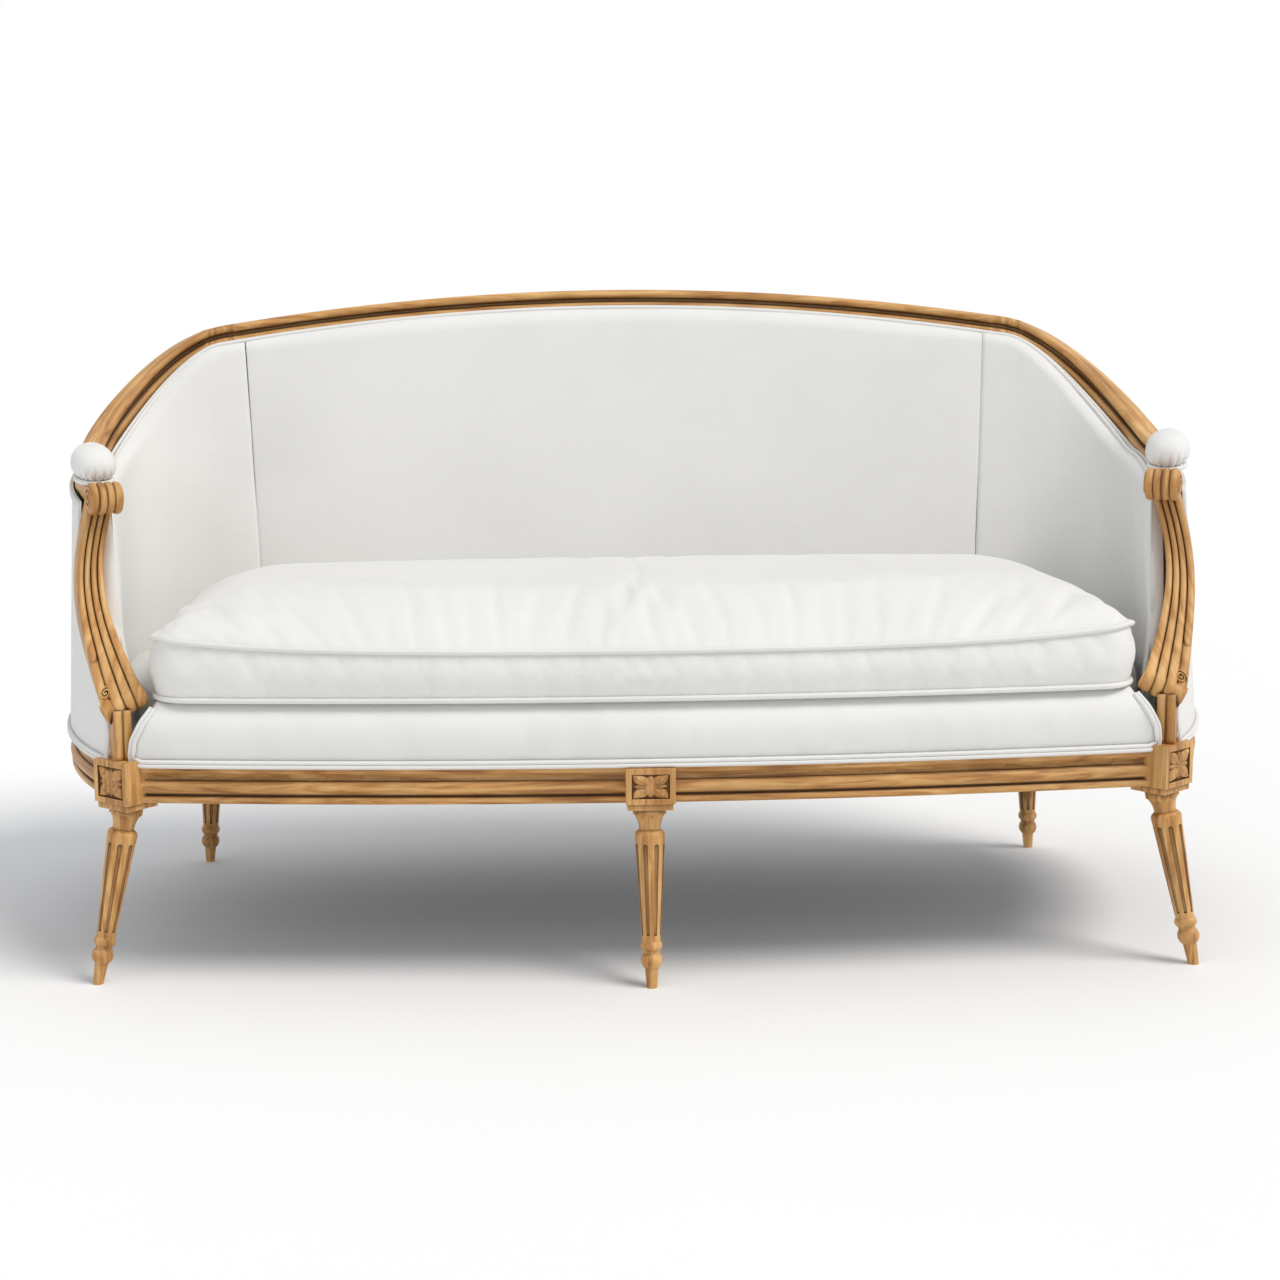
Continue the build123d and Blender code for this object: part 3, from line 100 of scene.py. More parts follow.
class Finish(Graph):
    """A material in the making."""

    def __init__(self, name, **surface):
        self.material = bpy.data.materials.new(name)
        self.material.use_nodes = True
        super().__init__(self.material.node_tree)
        self.shader = self.tree.nodes["Principled BSDF"]
        self.dress(**surface)

    def dress(self, **sockets):
        for socket, value in sockets.items():
            self.join(self.shader.inputs[socket.replace("_", " ")], value)
        return self.material

    def place(self):
        return self.add("ShaderNodeTexCoord", {}, out="Object")

    def stretch(self, place, scale):
        return self.add("ShaderNodeMapping", {"Vector": place, "Scale": scale})

    def split(self, vector):
        return self.add("ShaderNodeSeparateXYZ", {"Vector": vector}).node.outputs

    def noise(self, place, scale, detail=3.0, distortion=0.0):
        inputs = {"Vector": place, "Scale": scale, "Detail": detail, "Distortion": distortion}
        return self.add("ShaderNodeTexNoise", inputs)

    def ramp(self, factor, *stops):
        node = self.tree.nodes.new("ShaderNodeValToRGB")
        elements = node.color_ramp.elements
        while len(elements) < len(stops):
            elements.new(0.5)
        for element, (position, colour) in zip(elements, stops):
            element.position = position
            element.color = (*colour, 1)
        self.join(node.inputs[0], factor)
        return node.outputs[0]

    def level(self, factor, low, high):
        """Clamped rise from 0 at low to 1 at high, or the other way round."""
        inputs = {"Value": factor, "From Min": low, "From Max": high}
        return self.add("ShaderNodeMapRange", inputs)

    def mix(self, factor, first, second, blend="MIX"):
        inputs = {0: factor, 6: first, 7: second}
        return self.add("ShaderNodeMix", inputs, out=2, data_type="RGBA", blend_type=blend)

    def openness(self, reach, samples, inside=False):
        """1 on open wood and less down in a groove, or from inside, less along an edge."""
        settings = {"samples": samples, "only_local": True, "inside": inside}
        return self.add("ShaderNodeAmbientOcclusion", {"Distance": reach}, out="AO", **settings)

    def bump(self, height, distance, strength, below=None):
        inputs = {"Height": height, "Distance": distance, "Strength": strength}
        if below:
            inputs["Normal"] = below
        return self.add("ShaderNodeBump", inputs)


def waxed_beech(name, grain, unroll=None):
    """Stained and waxed wood; grain gives how fast the figure changes along x, y and z."""
    finish = Finish(name, Specular_IOR_Level=0.4)
    place = finish.place()
    along = finish.stretch(unroll(finish, place) if unroll else place, grain)
    figure = finish.noise(along, 1.0, 5.0, 0.8)
    pores = finish.noise(along, 5.0, 2.0)
    cloudy = finish.noise(place, 9.0)
    colour = finish.ramp(figure, (0.3, BROWN_HONEY), (0.45, HONEY), (0.64, PALE_HONEY))
    cloud = finish.ramp(cloudy, (0.35, CLOUD_DARK), (0.62, CLOUD_PALE))
    colour = finish.mix(0.8, colour, cloud, "MULTIPLY")
    flecks = finish.times(finish.level(pores, 0.62, 0.72), FLECKS)
    colour = finish.mix(flecks, colour, (*BROWN_HONEY, 1))
    edge = finish.level(finish.openness(EDGE_REACH, 6, inside=True), 0.75, 0.4)
    worn = finish.times(edge, finish.level(cloudy, 0.3, 0.6))
    colour = finish.mix(finish.times(worn, EDGE_WEAR), colour, (*PALE_HONEY, 1))
    # Painted shade: down in grooves and recesses the colour darkens toward the dark wax brown, partly for
    # wax gathered there and partly for the shade that falls there.
    groove = finish.level(finish.openness(GROOVE_REACH, 8), 0.93, 0.5)
    colour = finish.mix(finish.times(groove, GROOVE_WAX_AND_SHADE), colour, (*WAX_AND_SHADE_DARK, 1))
    roughness = finish.plus(finish.times(figure, 0.2), 0.36)
    relief = finish.bump(pores, 0.0003, 0.3, finish.bump(figure, 0.0006, 0.35))
    return finish.dress(Base_Color=colour, Roughness=roughness, Normal=relief)


def finish_nodes(material, *names):
    for name in names:
        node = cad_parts[name]
        if not node.material_slots:
            node.data.materials.append(material)
        for slot in node.material_slots:
            slot.material = material


wood_across = waxed_beech("waxed_beech_across", (GRAIN_LONG, GRAIN_FINE, GRAIN_FINE))
wood_upright = waxed_beech("waxed_beech_upright", (GRAIN_FINE, GRAIN_FINE, GRAIN_LONG))
wood_support = waxed_beech("waxed_beech_support", (GRAIN_FINE * 0.6, GRAIN_LONG * 2, GRAIN_LONG))
finish_nodes(wood_across, "front_rail_left", "front_rail_right", "rear_rail", "crest_rail")
finish_nodes(wood_upright, "front_leg_left", "front_leg_middle", "front_leg_right")
finish_nodes(wood_upright, "rear_stile_left", "rear_stile_right")
finish_nodes(wood_support, "arm_support_left", "arm_support_right")

# Hidden frame: tacking rails, brace, corner blocks and dowels
# Bare beech and pine, sawn and planed but not stained, glued together inside the seat and back.
# Nothing of it shows once the covers are on.
RAW_WOOD = (0.60, 0.44, 0.27)
RAW_WOOD_DARK = (0.47, 0.32, 0.18)
RAW_GRAIN = (8, 70, 70)


def two_tone(name, tones, stops, grain, detail=3.0, distortion=0.0, relief=None, **surface):
    """A plain finish that wanders between two tones, with a fine relief where one is given."""
    finish = Finish(name, **surface)
    figure = finish.noise(finish.stretch(finish.place(), grain), 1.0, detail, distortion)
    if relief:
        finish.dress(Normal=finish.bump(figure, *relief))
    return finish.dress(Base_Color=finish.ramp(figure, *zip(stops, tones)))


raw_tones = (RAW_WOOD_DARK, RAW_WOOD)
bare_wood = two_tone(
    "bare_beech", raw_tones, (0.35, 0.65), RAW_GRAIN, 4.0, 0.5, relief=(0.0006, 0.4), Roughness=0.75
)
finish_nodes(bare_wood, "back_tack_rail", "side_tack_rail_left", "side_tack_rail_right")
finish_nodes(bare_wood, "seat_brace", "corner_blocks", "frame_dowels")

# Wall line of the sofa
# The frame's plan is one line: bowed back, round corners at the stiles, then the long wings.
# q counts along it: 0 mid-back, 1 at the stile, 2 at the widest point and 3 at the front.
CENTRED = -0.354137
BACK_TURN = radians(8)
HALF_WIDTH = 0.850
LEG_HEIGHT = 0.256
RAIL_TOP = 0.306
BLOCK_TOP = 0.316
CREST_HEIGHT = 0.962
CREST_ARCH = 0.054
STILE_TOP = CREST_HEIGHT - CREST_ARCH
STILE_FOOT = (0.690, 0.605 + CENTRED)
STILE_HEAD = (0.672, 0.728 + CENTRED)
ARM_FRONT = (0.775, 0.190 + CENTRED)
ARM_HEIGHT = 0.687
ARM_FALL = 0.12
SWEEP_LENGTH = 0.350
SWEEP_BEND = 0.9
TOP_RAIL_HEIGHT = 0.036
CORNER_LEG = Vector((0.725, 0.012 + CENTRED, 0))
FRONT_RAIL_Y = -0.038 + CENTRED
FRONT_BOW = 0.050
FRONT_RADIUS = (CORNER_LEG.x**2 + FRONT_BOW**2) / (2 * FRONT_BOW)
FRONT_CENTRE = FRONT_RAIL_Y + FRONT_RADIUS
HALF_RAIL = 0.022
FRONT_FACE = FRONT_RADIUS + HALF_RAIL
SIDES = ((1, "right"), (-1, "left"))


class WallLine:
    """The right half of the plan at one height: three arcs that meet without a kink."""

    def __init__(self, stile, front):
        turn = pi / 2 - BACK_TURN
        back = stile[0] / sin(BACK_TURN)
        corner = (HALF_WIDTH - stile[0]) / (1 - cos(turn))
        widest_y = stile[1] - corner * sin(turn)
        inward = HALF_WIDTH - front[0]
        forward = widest_y - front[1]
        run = (inward**2 + forward**2) / (2 * inward)
        self.arcs = [
            (0, stile[1] - back * cos(BACK_TURN), back, pi / 2, BACK_TURN),
            (HALF_WIDTH - corner, widest_y, corner, turn, turn),
            (HALF_WIDTH - run, widest_y, run, 0, 2 * atan2(inward, forward)),
        ]

    def length(self, q):
        arc = self.arcs[min(int(q), 2)]
        return arc[2] * arc[4]

    def point(self, q, out=0.0):
        """Place on the line and the direction outwards."""
        index = min(int(q), 2)
        x, y, radius, start, turn = self.arcs[index]
        angle = start - turn * (q - index)
        way = Vector((cos(angle), sin(angle), 0))
        return Vector((x, y, 0)) + way * (radius + out), way

    def past_stile(self, q):
        return self.length(1) * min(q - 1, 1) + self.length(2) * max(q - 2, 0)


LOW_LINE = WallLine(STILE_FOOT, CORNER_LEG)
TOP_LINE = WallLine(STILE_HEAD, ARM_FRONT)
ARM_SWEEP = STILE_TOP - ARM_HEIGHT - ARM_FALL * TOP_LINE.past_stile(3)


def top_height(q):
    """Top of the crest or the arm."""
    if q <= 1:
        return CREST_HEIGHT - CREST_ARCH * q**2
    run = TOP_LINE.past_stile(q)
    share = min(run / SWEEP_LENGTH, 1) ** SWEEP_BEND
    return STILE_TOP - ARM_SWEEP * (1 - cos(pi * share)) / 2 - ARM_FALL * run


def top_slope(q):
    step = 0.001
    return (top_height(q + step) - top_height(q)) / (step * TOP_LINE.length(q))


def underside(q):
    return top_height(q) - TOP_RAIL_HEIGHT * hypot(1, top_slope(q))


def wall_top(q):
    """Underside of the top rail where the leaning wall meets it."""
    low = LOW_LINE.point(q)[0]
    top, way = TOP_LINE.point(q)
    lean = (top.x - low.x) * way.y - (top.y - low.y) * way.x
    share = (top_height(q) - underside(q)) / (top_height(q) - RAIL_TOP)
    return underside(q) - top_slope(q) * lean * share


def on_wall(low_q, top_q, out, height):
    """Place on the right half of the leaning wall, so far outside its middle line."""
    low, low_way = LOW_LINE.point(low_q)
    top, top_way = TOP_LINE.point(top_q)
    share = (height - RAIL_TOP) / (top_height(top_q) - RAIL_TOP)
    place = low + (top - low) * share + (low_way + top_way).normalized() * out
    return Vector((place.x, place.y, height))


def on_top_rail(q, out, up):
    place, way = TOP_LINE.point(q)
    place = place + way * out
    return Vector((place.x, place.y, top_height(q) + up * hypot(1, top_slope(q))))


def spread(first, last, count):
    return [first + (last - first) * i / (count - 1) for i in range(count)]


def plumb(height):
    return Vector((0, 0, height))


def flipped(point):
    return Vector((-point.x, point.y, point.z))


def mirrored(lines):
    return [[flipped(point) for point in line] for line in lines]


def both_halves(line):
    """A line that ends on the middle of the sofa, carried on by its mirror image."""
    return line + [flipped(point) for point in reversed(line[:-1])]


# Curved side rails and arms
# Sawn from wide boards to the wall line's curve and moulded, so the grain runs round with the bend.
# Each arm is dowelled to the stile's head behind and to its support in front.
def along_bend(line):
    """Nodes that unroll the curve: how far out, how far along and how high."""
    middle_x, middle_y = line.arcs[1][:2]
    front_radius = line.arcs[2][2]

    def unroll(finish, place):
        x, y, z = finish.split(place)
        across = finish.minus(finish.math("ABSOLUTE", x), middle_x)
        past = finish.minus(y, middle_y)
        behind = finish.math("MAXIMUM", past, 0.0)
        before = finish.math("MINIMUM", past, 0.0)
        square = finish.plus(finish.math("POWER", across, 2.0), finish.math("POWER", behind, 2.0))
        inward = finish.times(finish.times(before, before), 0.5 / front_radius)
        out = finish.plus(finish.math("SQRT", square), inward)
        run = finish.plus(y, finish.math("GREATER_THAN", x, 0.0))
        return finish.add("ShaderNodeCombineXYZ", {"X": out, "Y": run, "Z": z})

    return unroll


arm_grain = (GRAIN_FINE, GRAIN_LONG, GRAIN_LONG * 2)
side_grain = (GRAIN_FINE, GRAIN_LONG, GRAIN_FINE)
arm_wood = waxed_beech("waxed_beech_arm", arm_grain, along_bend(TOP_LINE))
side_wood = waxed_beech("waxed_beech_side", side_grain, along_bend(LOW_LINE))
finish_nodes(arm_wood, "arm_rail_left", "arm_rail_right")
finish_nodes(side_wood, "side_rail_left", "side_rail_right")

# Line of the arm supports
# Each support stands in front of the wall on its corner block and bends back and out up to the arm.
# The covers of the wing end along the back of its curve.
BLOCK_TURN = radians(40)
BLOCK_WAY = Vector((sin(BLOCK_TURN), -cos(BLOCK_TURN), 0))
OUT = TOP_LINE.point(3)[1]
BACK = Vector((-OUT.y, OUT.x, 0))
VOLUTE_RADIUS = 0.024
VOLUTE = Vector((*ARM_FRONT, ARM_HEIGHT - VOLUTE_RADIUS))
POST_AHEAD = 0.008
POST_REAR = 0.0131
POST = CORNER_LEG + BLOCK_WAY * POST_AHEAD
FOOT_INWARD = 0.008
FOOT_BACK = 0.006
FOOT_RISE = 0.076
FOOT_DROP = 0.031
FOOT_TILT = radians(25)
FOOT_FLARE = 0.025
SUPPORT_WIDTH = 0.037
SUPPORT_REAR = 0.0154
BOW_OUT = 0.016
BOW_BACK = 0.057
HEAD_SETBACK = 0.033
SUPPORT_FOOT = POST - OUT * FOOT_INWARD + BACK * FOOT_BACK + plumb(BLOCK_TOP + FOOT_RISE)
SUPPORT_HEAD = VOLUTE + BACK * HEAD_SETBACK
SUPPORT_HEAD.z = underside(3 - HEAD_SETBACK / TOP_LINE.length(2))


def support_point(t):
    """Middle line of the support, from its scrolled foot at 0 to the arm at 1."""
    bow = (OUT * BOW_OUT + BACK * BOW_BACK) * sin(pi * t)
    return SUPPORT_FOOT + (SUPPORT_HEAD - SUPPORT_FOOT) * t + bow


def support_across(t):
    tilt = FOOT_TILT * max(1 - t, 0) ** 3
    return OUT * cos(tilt) - plumb(sin(tilt))


def support_width(t):
    return SUPPORT_WIDTH + FOOT_FLARE * max(1 - t, 0) ** 3


def support_front(t):
    """Ways that the support's face looks and rises."""
    rising = (support_point(t + 0.01) - support_point(t - 0.01)).normalized()
    return support_across(t).cross(rising).normalized(), rising


def support_spot(t, wide, deep):
    return support_point(t) + support_across(t) * wide + support_front(t)[0] * deep


support_back = [support_spot(t, support_width(t) / 2, -SUPPORT_REAR) for t in spread(0, 1.1, 24)]
BACK_HEIGHTS = [LEG_HEIGHT, SUPPORT_FOOT.z - FOOT_DROP] + [spot.z for spot in support_back]
BACK_REACHES = [POST_REAR, POST_REAR] + [(spot - POST).dot(BACK) for spot in support_back]


def wall_end(out, height, gap=0.0):
    """The q where the wall's covers end behind the support at a height."""
    target = float(np.interp(height, BACK_HEIGHTS, BACK_REACHES)) + gap
    near, far = 2.0, 3.0
    for _ in range(26):
        middle = (near + far) / 2
        if (on_wall(middle, middle, out, height) - POST).dot(BACK) > target:
            near = middle
        else:
            far = middle
    return near


# Rosettes on the three front blocks
# Leaf petals in an X with short fans between them, carved out of each block's sunk panel round a boss.
# Each block is one piece of wood with its leg, so the petals grow out of the panel's floor.
PETALS = 8
PETAL_LENGTH = 0.0285
PETAL_WIDTH = 0.0140
PETAL_RISE = 0.0050
FAN_SHARE = 0.66
PETAL_START = 0.0015
BLOCK_FACE = 0.030 - 0.003
CORNER_SIZE = (1.12, 1, 0.98)
MIDDLE_SIZE = (1.15, 1, 0.78)


def piece_of(name, mesh, *materials):
    for material in materials:
        mesh.materials.append(material)
    piece = bpy.data.objects.new(name, mesh)
    bpy.context.scene.collection.objects.link(piece)
    return piece


def smooth_piece(name, work, material, outwards=True):
    """A finished object from a bmesh, smooth shaded and facing outwards."""
    if outwards:
        bmesh.ops.recalc_face_normals(work, faces=work.faces)
    mesh = bpy.data.meshes.new(name)
    work.to_mesh(mesh)
    work.free()
    mesh.shade_smooth()
    return piece_of(name, mesh, material)


def settle(piece, body, slot, *replaced):
    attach(piece, body)
    if replaced:
        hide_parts(*replaced)


def plant(name, *inputs):
    """An empty Geometry Nodes tree with its named inputs and the graph to fill it."""
    tree = bpy.data.node_groups.new(name, "GeometryNodeTree")
    tree.interface.new_socket("Geometry", in_out="OUTPUT", socket_type="NodeSocketGeometry")
    tree.interface.new_socket("Geometry", in_out="INPUT", socket_type="NodeSocketGeometry")
    for label, kind in inputs:
        tree.interface.new_socket(label, in_out="INPUT", socket_type="NodeSocket" + kind)
    return Graph(tree), tree.nodes.new("NodeGroupInput").outputs


def ripen(graph, geometry, material):
    """Ends a tree in plain smooth geometry with its material set."""
    smooth = graph.add("GeometryNodeSetShadeSmooth", {"Geometry": geometry})
    plain = graph.add("GeometryNodeRealizeInstances", {"Geometry": smooth})
    painted = graph.add("GeometryNodeSetMaterial", {"Geometry": plain, "Material": material})
    graph.join(graph.tree.nodes.new("NodeGroupOutput").inputs[0], painted)
    return graph.tree


def harvest(name, holder, tree, **values):
    """Runs a tree on an object and keeps what it makes as a plain mesh."""
    modifier = holder.modifiers.new(name, "NODES")
    modifier.node_group = tree
    for item in tree.interface.items_tree:
        key = item.name.replace(" ", "_")
        if item.in_out == "INPUT" and key in values:
            modifier[item.identifier] = values[key]
    ready = holder.evaluated_get(bpy.context.evaluated_depsgraph_get())
    mesh = bpy.data.meshes.new_from_object(ready)
    holder.modifiers.remove(modifier)
    bpy.data.objects.remove(holder)
    mesh.name = name
    return piece_of(name, mesh)


def carving_places(name, places):
    """Points that carry carvings, each with its turn and its size."""
    mesh = bpy.data.meshes.new(name)
    mesh.from_pydata([place for place, _, _ in places], [], [])
    mesh.attributes.new("turn", "FLOAT_VECTOR", "POINT")
    mesh.attributes.new("size", "FLOAT_VECTOR", "POINT")
    for i, (_, turn, size) in enumerate(places):
        mesh.attributes["turn"].data[i].vector = turn
        mesh.attributes["size"].data[i].vector = size
    return piece_of(name, mesh)


def carve_at(graph, points, shape):
    """Puts a shape on every point, turned and sized by the point's attributes."""
    turn, size = (
        graph.add("GeometryNodeInputNamedAttribute", {"Name": name}, data_type="FLOAT_VECTOR")
        for name in ("turn", "size")
    )
    inputs = {"Points": points, "Instance": shape, "Rotation": turn, "Scale": size}
    return graph.add("GeometryNodeInstanceOnPoints", inputs)


petal_work = bmesh.new()
bmesh.ops.create_uvsphere(petal_work, u_segments=16, v_segments=10, radius=1)
for vert in petal_work.verts:
    x, y, z = vert.co
    along = (x + 1) / 2
    rib = 1 + 0.35 * exp(-((y / 0.22) ** 2)) + 0.12 * cos(9 * y)
    width = PETAL_WIDTH / 2 * (0.45 + 0.85 * sin(pi * along**0.8))
    rise = PETAL_RISE * rib * (0.75 + 0.25 * along)
    vert.co = Vector((along * PETAL_LENGTH, y * width, z * rise))
petal = smooth_piece("petal", petal_work, wood_upright)

graph, given = plant(
    "rosette", ("Petal", "Object"), ("Petals", "Int"), ("Fan share", "Float"), ("Wood", "Material")
)
ring = graph.add("GeometryNodeMeshCircle", {"Vertices": given["Petals"], "Radius": PETAL_START})
index = graph.add("GeometryNodeInputIndex", {})
turn = graph.math("DIVIDE", graph.times(index, 2 * pi), given["Petals"])
turned = graph.add("ShaderNodeCombineXYZ", {"Z": turn})
even_petal = graph.minus(1.0, graph.math("MODULO", index, 2.0))
size = graph.minus(1.0, graph.times(even_petal, graph.minus(1.0, given["Fan share"])))
leaf = graph.add("GeometryNodeObjectInfo", {"Object": given["Petal"]}, out="Geometry")
inputs = {"Points": ring, "Instance": leaf, "Rotation": turned, "Scale": size}
leaves = graph.add("GeometryNodeInstanceOnPoints", inputs)
upright = graph.add("GeometryNodeTransform", {"Geometry": leaves, "Rotation": (pi / 2, 0, 0)})
rosette_tree = ripen(graph, carve_at(graph, given["Geometry"], upright), given["Wood"])

corner_face = CORNER_LEG + BLOCK_WAY * BLOCK_FACE + plumb((LEG_HEIGHT + BLOCK_TOP) / 2)
middle_face = Vector((0, FRONT_RAIL_Y - BLOCK_FACE, (LEG_HEIGHT + RAIL_TOP) / 2))
block_faces = (
    (corner_face, BLOCK_TURN, CORNER_SIZE),
    (flipped(corner_face), -BLOCK_TURN, CORNER_SIZE),
    (middle_face, 0, MIDDLE_SIZE),
)
rosettes = harvest(
    "block_rosettes",
    carving_places("rosette_places", [(spot, (0, 0, turn), size) for spot, turn, size in block_faces]),
    rosette_tree,
    Petal=petal,
    Petals=PETALS,
    Fan_share=FAN_SHARE,
    Wood=wood_upright,
)
bpy.data.objects.remove(petal)
settle(rosettes, "frame", "carved_wood")

# Painted shade on the grounds behind the rosettes
# The floor of each sunk panel is rough, and a thin dark skin over it paints the shade that falls in the
# recess round the petals.
# The stamped skin is part of the block; its bumps rise and fall by a quarter of a millimetre.
RECESS_SHADE_DARK = (0.07, 0.028, 0.008)
RECESS_SHADE_PALE = (0.20, 0.088, 0.026)
GROUND_WIDTH = 0.0516
CORNER_GROUND = 0.0436
MIDDLE_GROUND = 0.0336
GROUND_COLUMNS = 32
GROUND_ROWS = 28
PUNCH = 0.00025

# Painted shade: the skins are dark brown to stand for the shade that falls in each recess.
recess_shade_tones = (RECESS_SHADE_DARK, RECESS_SHADE_PALE)
recess_shade_finish = two_tone(
    "matted_ground", recess_shade_tones, (0.35, 0.7), (420, 420, 420), Roughness=0.7, Specular_IOR_Level=0.3
)


def tile(work, rows, closed=False):
    """Faces between neighbouring rows of as many points each."""
    count = len(rows[0])
    for low, high in zip(rows, rows[1:]):
        for i in range(count if closed else count - 1):
            j = (i + 1) % count
            work.faces.new((low[i], low[j], high[j], high[i]))


ground_work = bmesh.new()
for middle, turn, _ in block_faces:
    height = CORNER_GROUND if turn else MIDDLE_GROUND
    aside = Vector((cos(turn), sin(turn), 0))
    ahead = Vector((sin(turn), -cos(turn), 0))
    rows = []
    for v in spread(-0.5, 0.5, GROUND_ROWS):
        row = []
        for u in spread(-0.5, 0.5, GROUND_COLUMNS):
            stamp = PUNCH * (1.2 + noise.noise(Vector((u * 22, v * 19, 4.4 + turn))))
            spot = middle + aside * (u * GROUND_WIDTH) + plumb(v * height) + ahead * stamp
            row.append(ground_work.verts.new(spot))
        rows.append(row)
    tile(ground_work, rows)
    right_edge = [row[-1] for row in rows[1:]]
    left_edge = [row[0] for row in rows[-2:0:-1]]
    rim = rows[0] + right_edge + rows[-1][-2::-1] + left_edge
    floor_rim = []
    for vert in rim:
        sink = 0.6 * PUNCH + (vert.co - middle).dot(ahead)
        floor_rim.append(ground_work.verts.new(vert.co - ahead * sink))
    tile(ground_work, [floor_rim, rim], closed=True)
    ground_work.faces.new(list(reversed(floor_rim)))
grounds = smooth_piece("matted_grounds", ground_work, recess_shade_finish)
settle(grounds, "frame", "carved_wood")

# Scrolls at the ends of the arm drums and of the support feet
# A rolled fillet carved as a spiral in each end face, sunk at its edges where the wax has gathered.
# Five to a side, cut in one with the arm or the support.
SCROLL_TURNS = 2.1
SCROLL_START = 0.0030
SCROLL_FILLET = 0.0024
DRUM_SCROLL = 0.0186
DRUM_REACH = 0.0228
FOOT_SCROLL = 0.0122
FOOT_REACH = 0.0305
FRONT_SCROLL = 0.0108
FRONT_OVAL = (0.8, 1.2, 1.3)
FRONT_DEPTH = 0.0158

graph, given = plant(
    "scroll", ("Turns", "Float"), ("Start", "Float"), ("Fillet", "Float"), ("Wood", "Material")
)
inputs = {"Resolution": 40, "Rotations": given["Turns"], "Start Radius": given["Start"]}
coil = graph.add("GeometryNodeCurveSpiral", {**inputs, "End Radius": DRUM_SCROLL, "Height": 0.0})
fillet = graph.add("GeometryNodeCurvePrimitiveCircle", {"Radius": given["Fillet"], "Resolution": 10})
roll = graph.add("GeometryNodeCurveToMesh", {"Curve": coil, "Profile Curve": fillet, "Fill Caps": True})
scroll_tree = ripen(graph, carve_at(graph, given["Geometry"], roll), given["Wood"])

scrolls_right = []
for end in (1, -1):
    for middle, axis, reach, share in (
        (VOLUTE, OUT, DRUM_REACH, 1.0),
        (SUPPORT_FOOT, support_across(0), FOOT_REACH, FOOT_SCROLL / DRUM_SCROLL),
    ):
        scrolls_right.append((middle + axis * (end * reach), axis * end, (share,) * 3))
front_spot = support_spot(0.04, support_width(0) * 0.30, FRONT_DEPTH)
front_size = [FRONT_SCROLL / DRUM_SCROLL * share for share in FRONT_OVAL]
scrolls_right.append((front_spot, support_front(0.05)[0], front_size))
scroll_places = []
for side, _ in SIDES:
    for spot, way, size in scrolls_right:
        if side < 0:
            spot, way = flipped(spot), flipped(way)
        scroll_places.append((spot, way.to_track_quat("Z", "Y").to_euler(), size))
scrolls = harvest(
    "carved_scrolls",
    carving_places("scroll_places", scroll_places),
    scroll_tree,
    Turns=SCROLL_TURNS,
    Start=SCROLL_START,
    Fillet=SCROLL_FILLET,
    Wood=wood_upright,
)
settle(scrolls, "frame", "carved_wood")

# Reeds down the arm supports and their posts
# Four round reeds run from the drum down each support and roll under its foot, and two face each post.
# They are worked in the solid with a scratch tool, so the quirks between them hold the dark wax.
REEDS = 4
REED_RISE = 0.0038
REED_SINK = 0.0015
REED_FILL = 0.97
REED_SEAT = 0.0150
REED_START = 0.012
REED_END = 0.965
FOOT_ROLL = 0.0154
FOOT_WRAP = radians(110)
POST_FACE = 0.0121
POST_REED = 0.0061
POST_HEIGHT = 0.070
OUTER_REED_START = 0.17
OUTER_REED_POINT = 0.04


def skin(work, rings):
    """Joins rings of as many points each into one closed skin."""
    rows = [[work.verts.new(point) for point in ring] for ring in rings]
    tile(work, rows, closed=True)
    work.faces.new(list(reversed(rows[0])))
    work.faces.new(rows[-1])


def paired_piece(name, strips, material):
    """One piece of closed skins on the right and their mirror images on the left."""
    work = bmesh.new()
    for rings in strips:
        skin(work, rings)
        skin(work, mirrored(rings))
    return smooth_piece(name, work, material)


def reed_ring(spot, aside, ahead, half):
    """Round over the wood and closed a little below it."""
    ring = [spot + aside * (half * cos(a)) + ahead * (REED_RISE * sin(a)) for a in spread(pi, 0, 9)]
    return ring + [spot + aside * half - ahead * REED_SINK, spot - aside * half - ahead * REED_SINK]


reed_strips = []
for number in range(REEDS):
    centre = (number + 0.5) / REEDS - 0.5
    outer = number == REEDS - 1
    rings = []
    if not outer:
        ahead, rising = support_front(0)
        across, width = support_across(0), support_width(0)
        for turn in spread(FOOT_WRAP, 0, 12):
            way = ahead * cos(turn) - rising * sin(turn)
            spot = support_point(0) + across * (centre * width) + way * FOOT_ROLL
            rings.append(reed_ring(spot, across, way, width / REEDS / 2 * REED_FILL))
    for t in spread(OUTER_REED_START if outer else REED_START, REED_END, 56):
        past_point = (t - OUTER_REED_START + REED_START) / OUTER_REED_POINT
        full = min(1, past_point**0.5) if outer else 1
        half = support_width(t) / REEDS / 2 * REED_FILL * full
        spot = support_spot(t, centre * support_width(t), REED_SEAT - REED_RISE * (1 - full))
        rings.append(reed_ring(spot, support_across(t), support_front(t)[0], half))
    reed_strips.append(rings)
post_levels = spread(BLOCK_TOP + 0.0005, BLOCK_TOP + POST_HEIGHT, 12)
for way in (-1, 1):
    spot = POST + OUT * (way * POST_REED) - BACK * POST_FACE
    half = POST_REED * REED_FILL
    reed_strips.append([reed_ring(spot + plumb(level), OUT, -BACK, half) for level in post_levels])
reeds = paired_piece("carved_reeds", reed_strips, wood_support)
settle(reeds, "frame", "carved_wood")

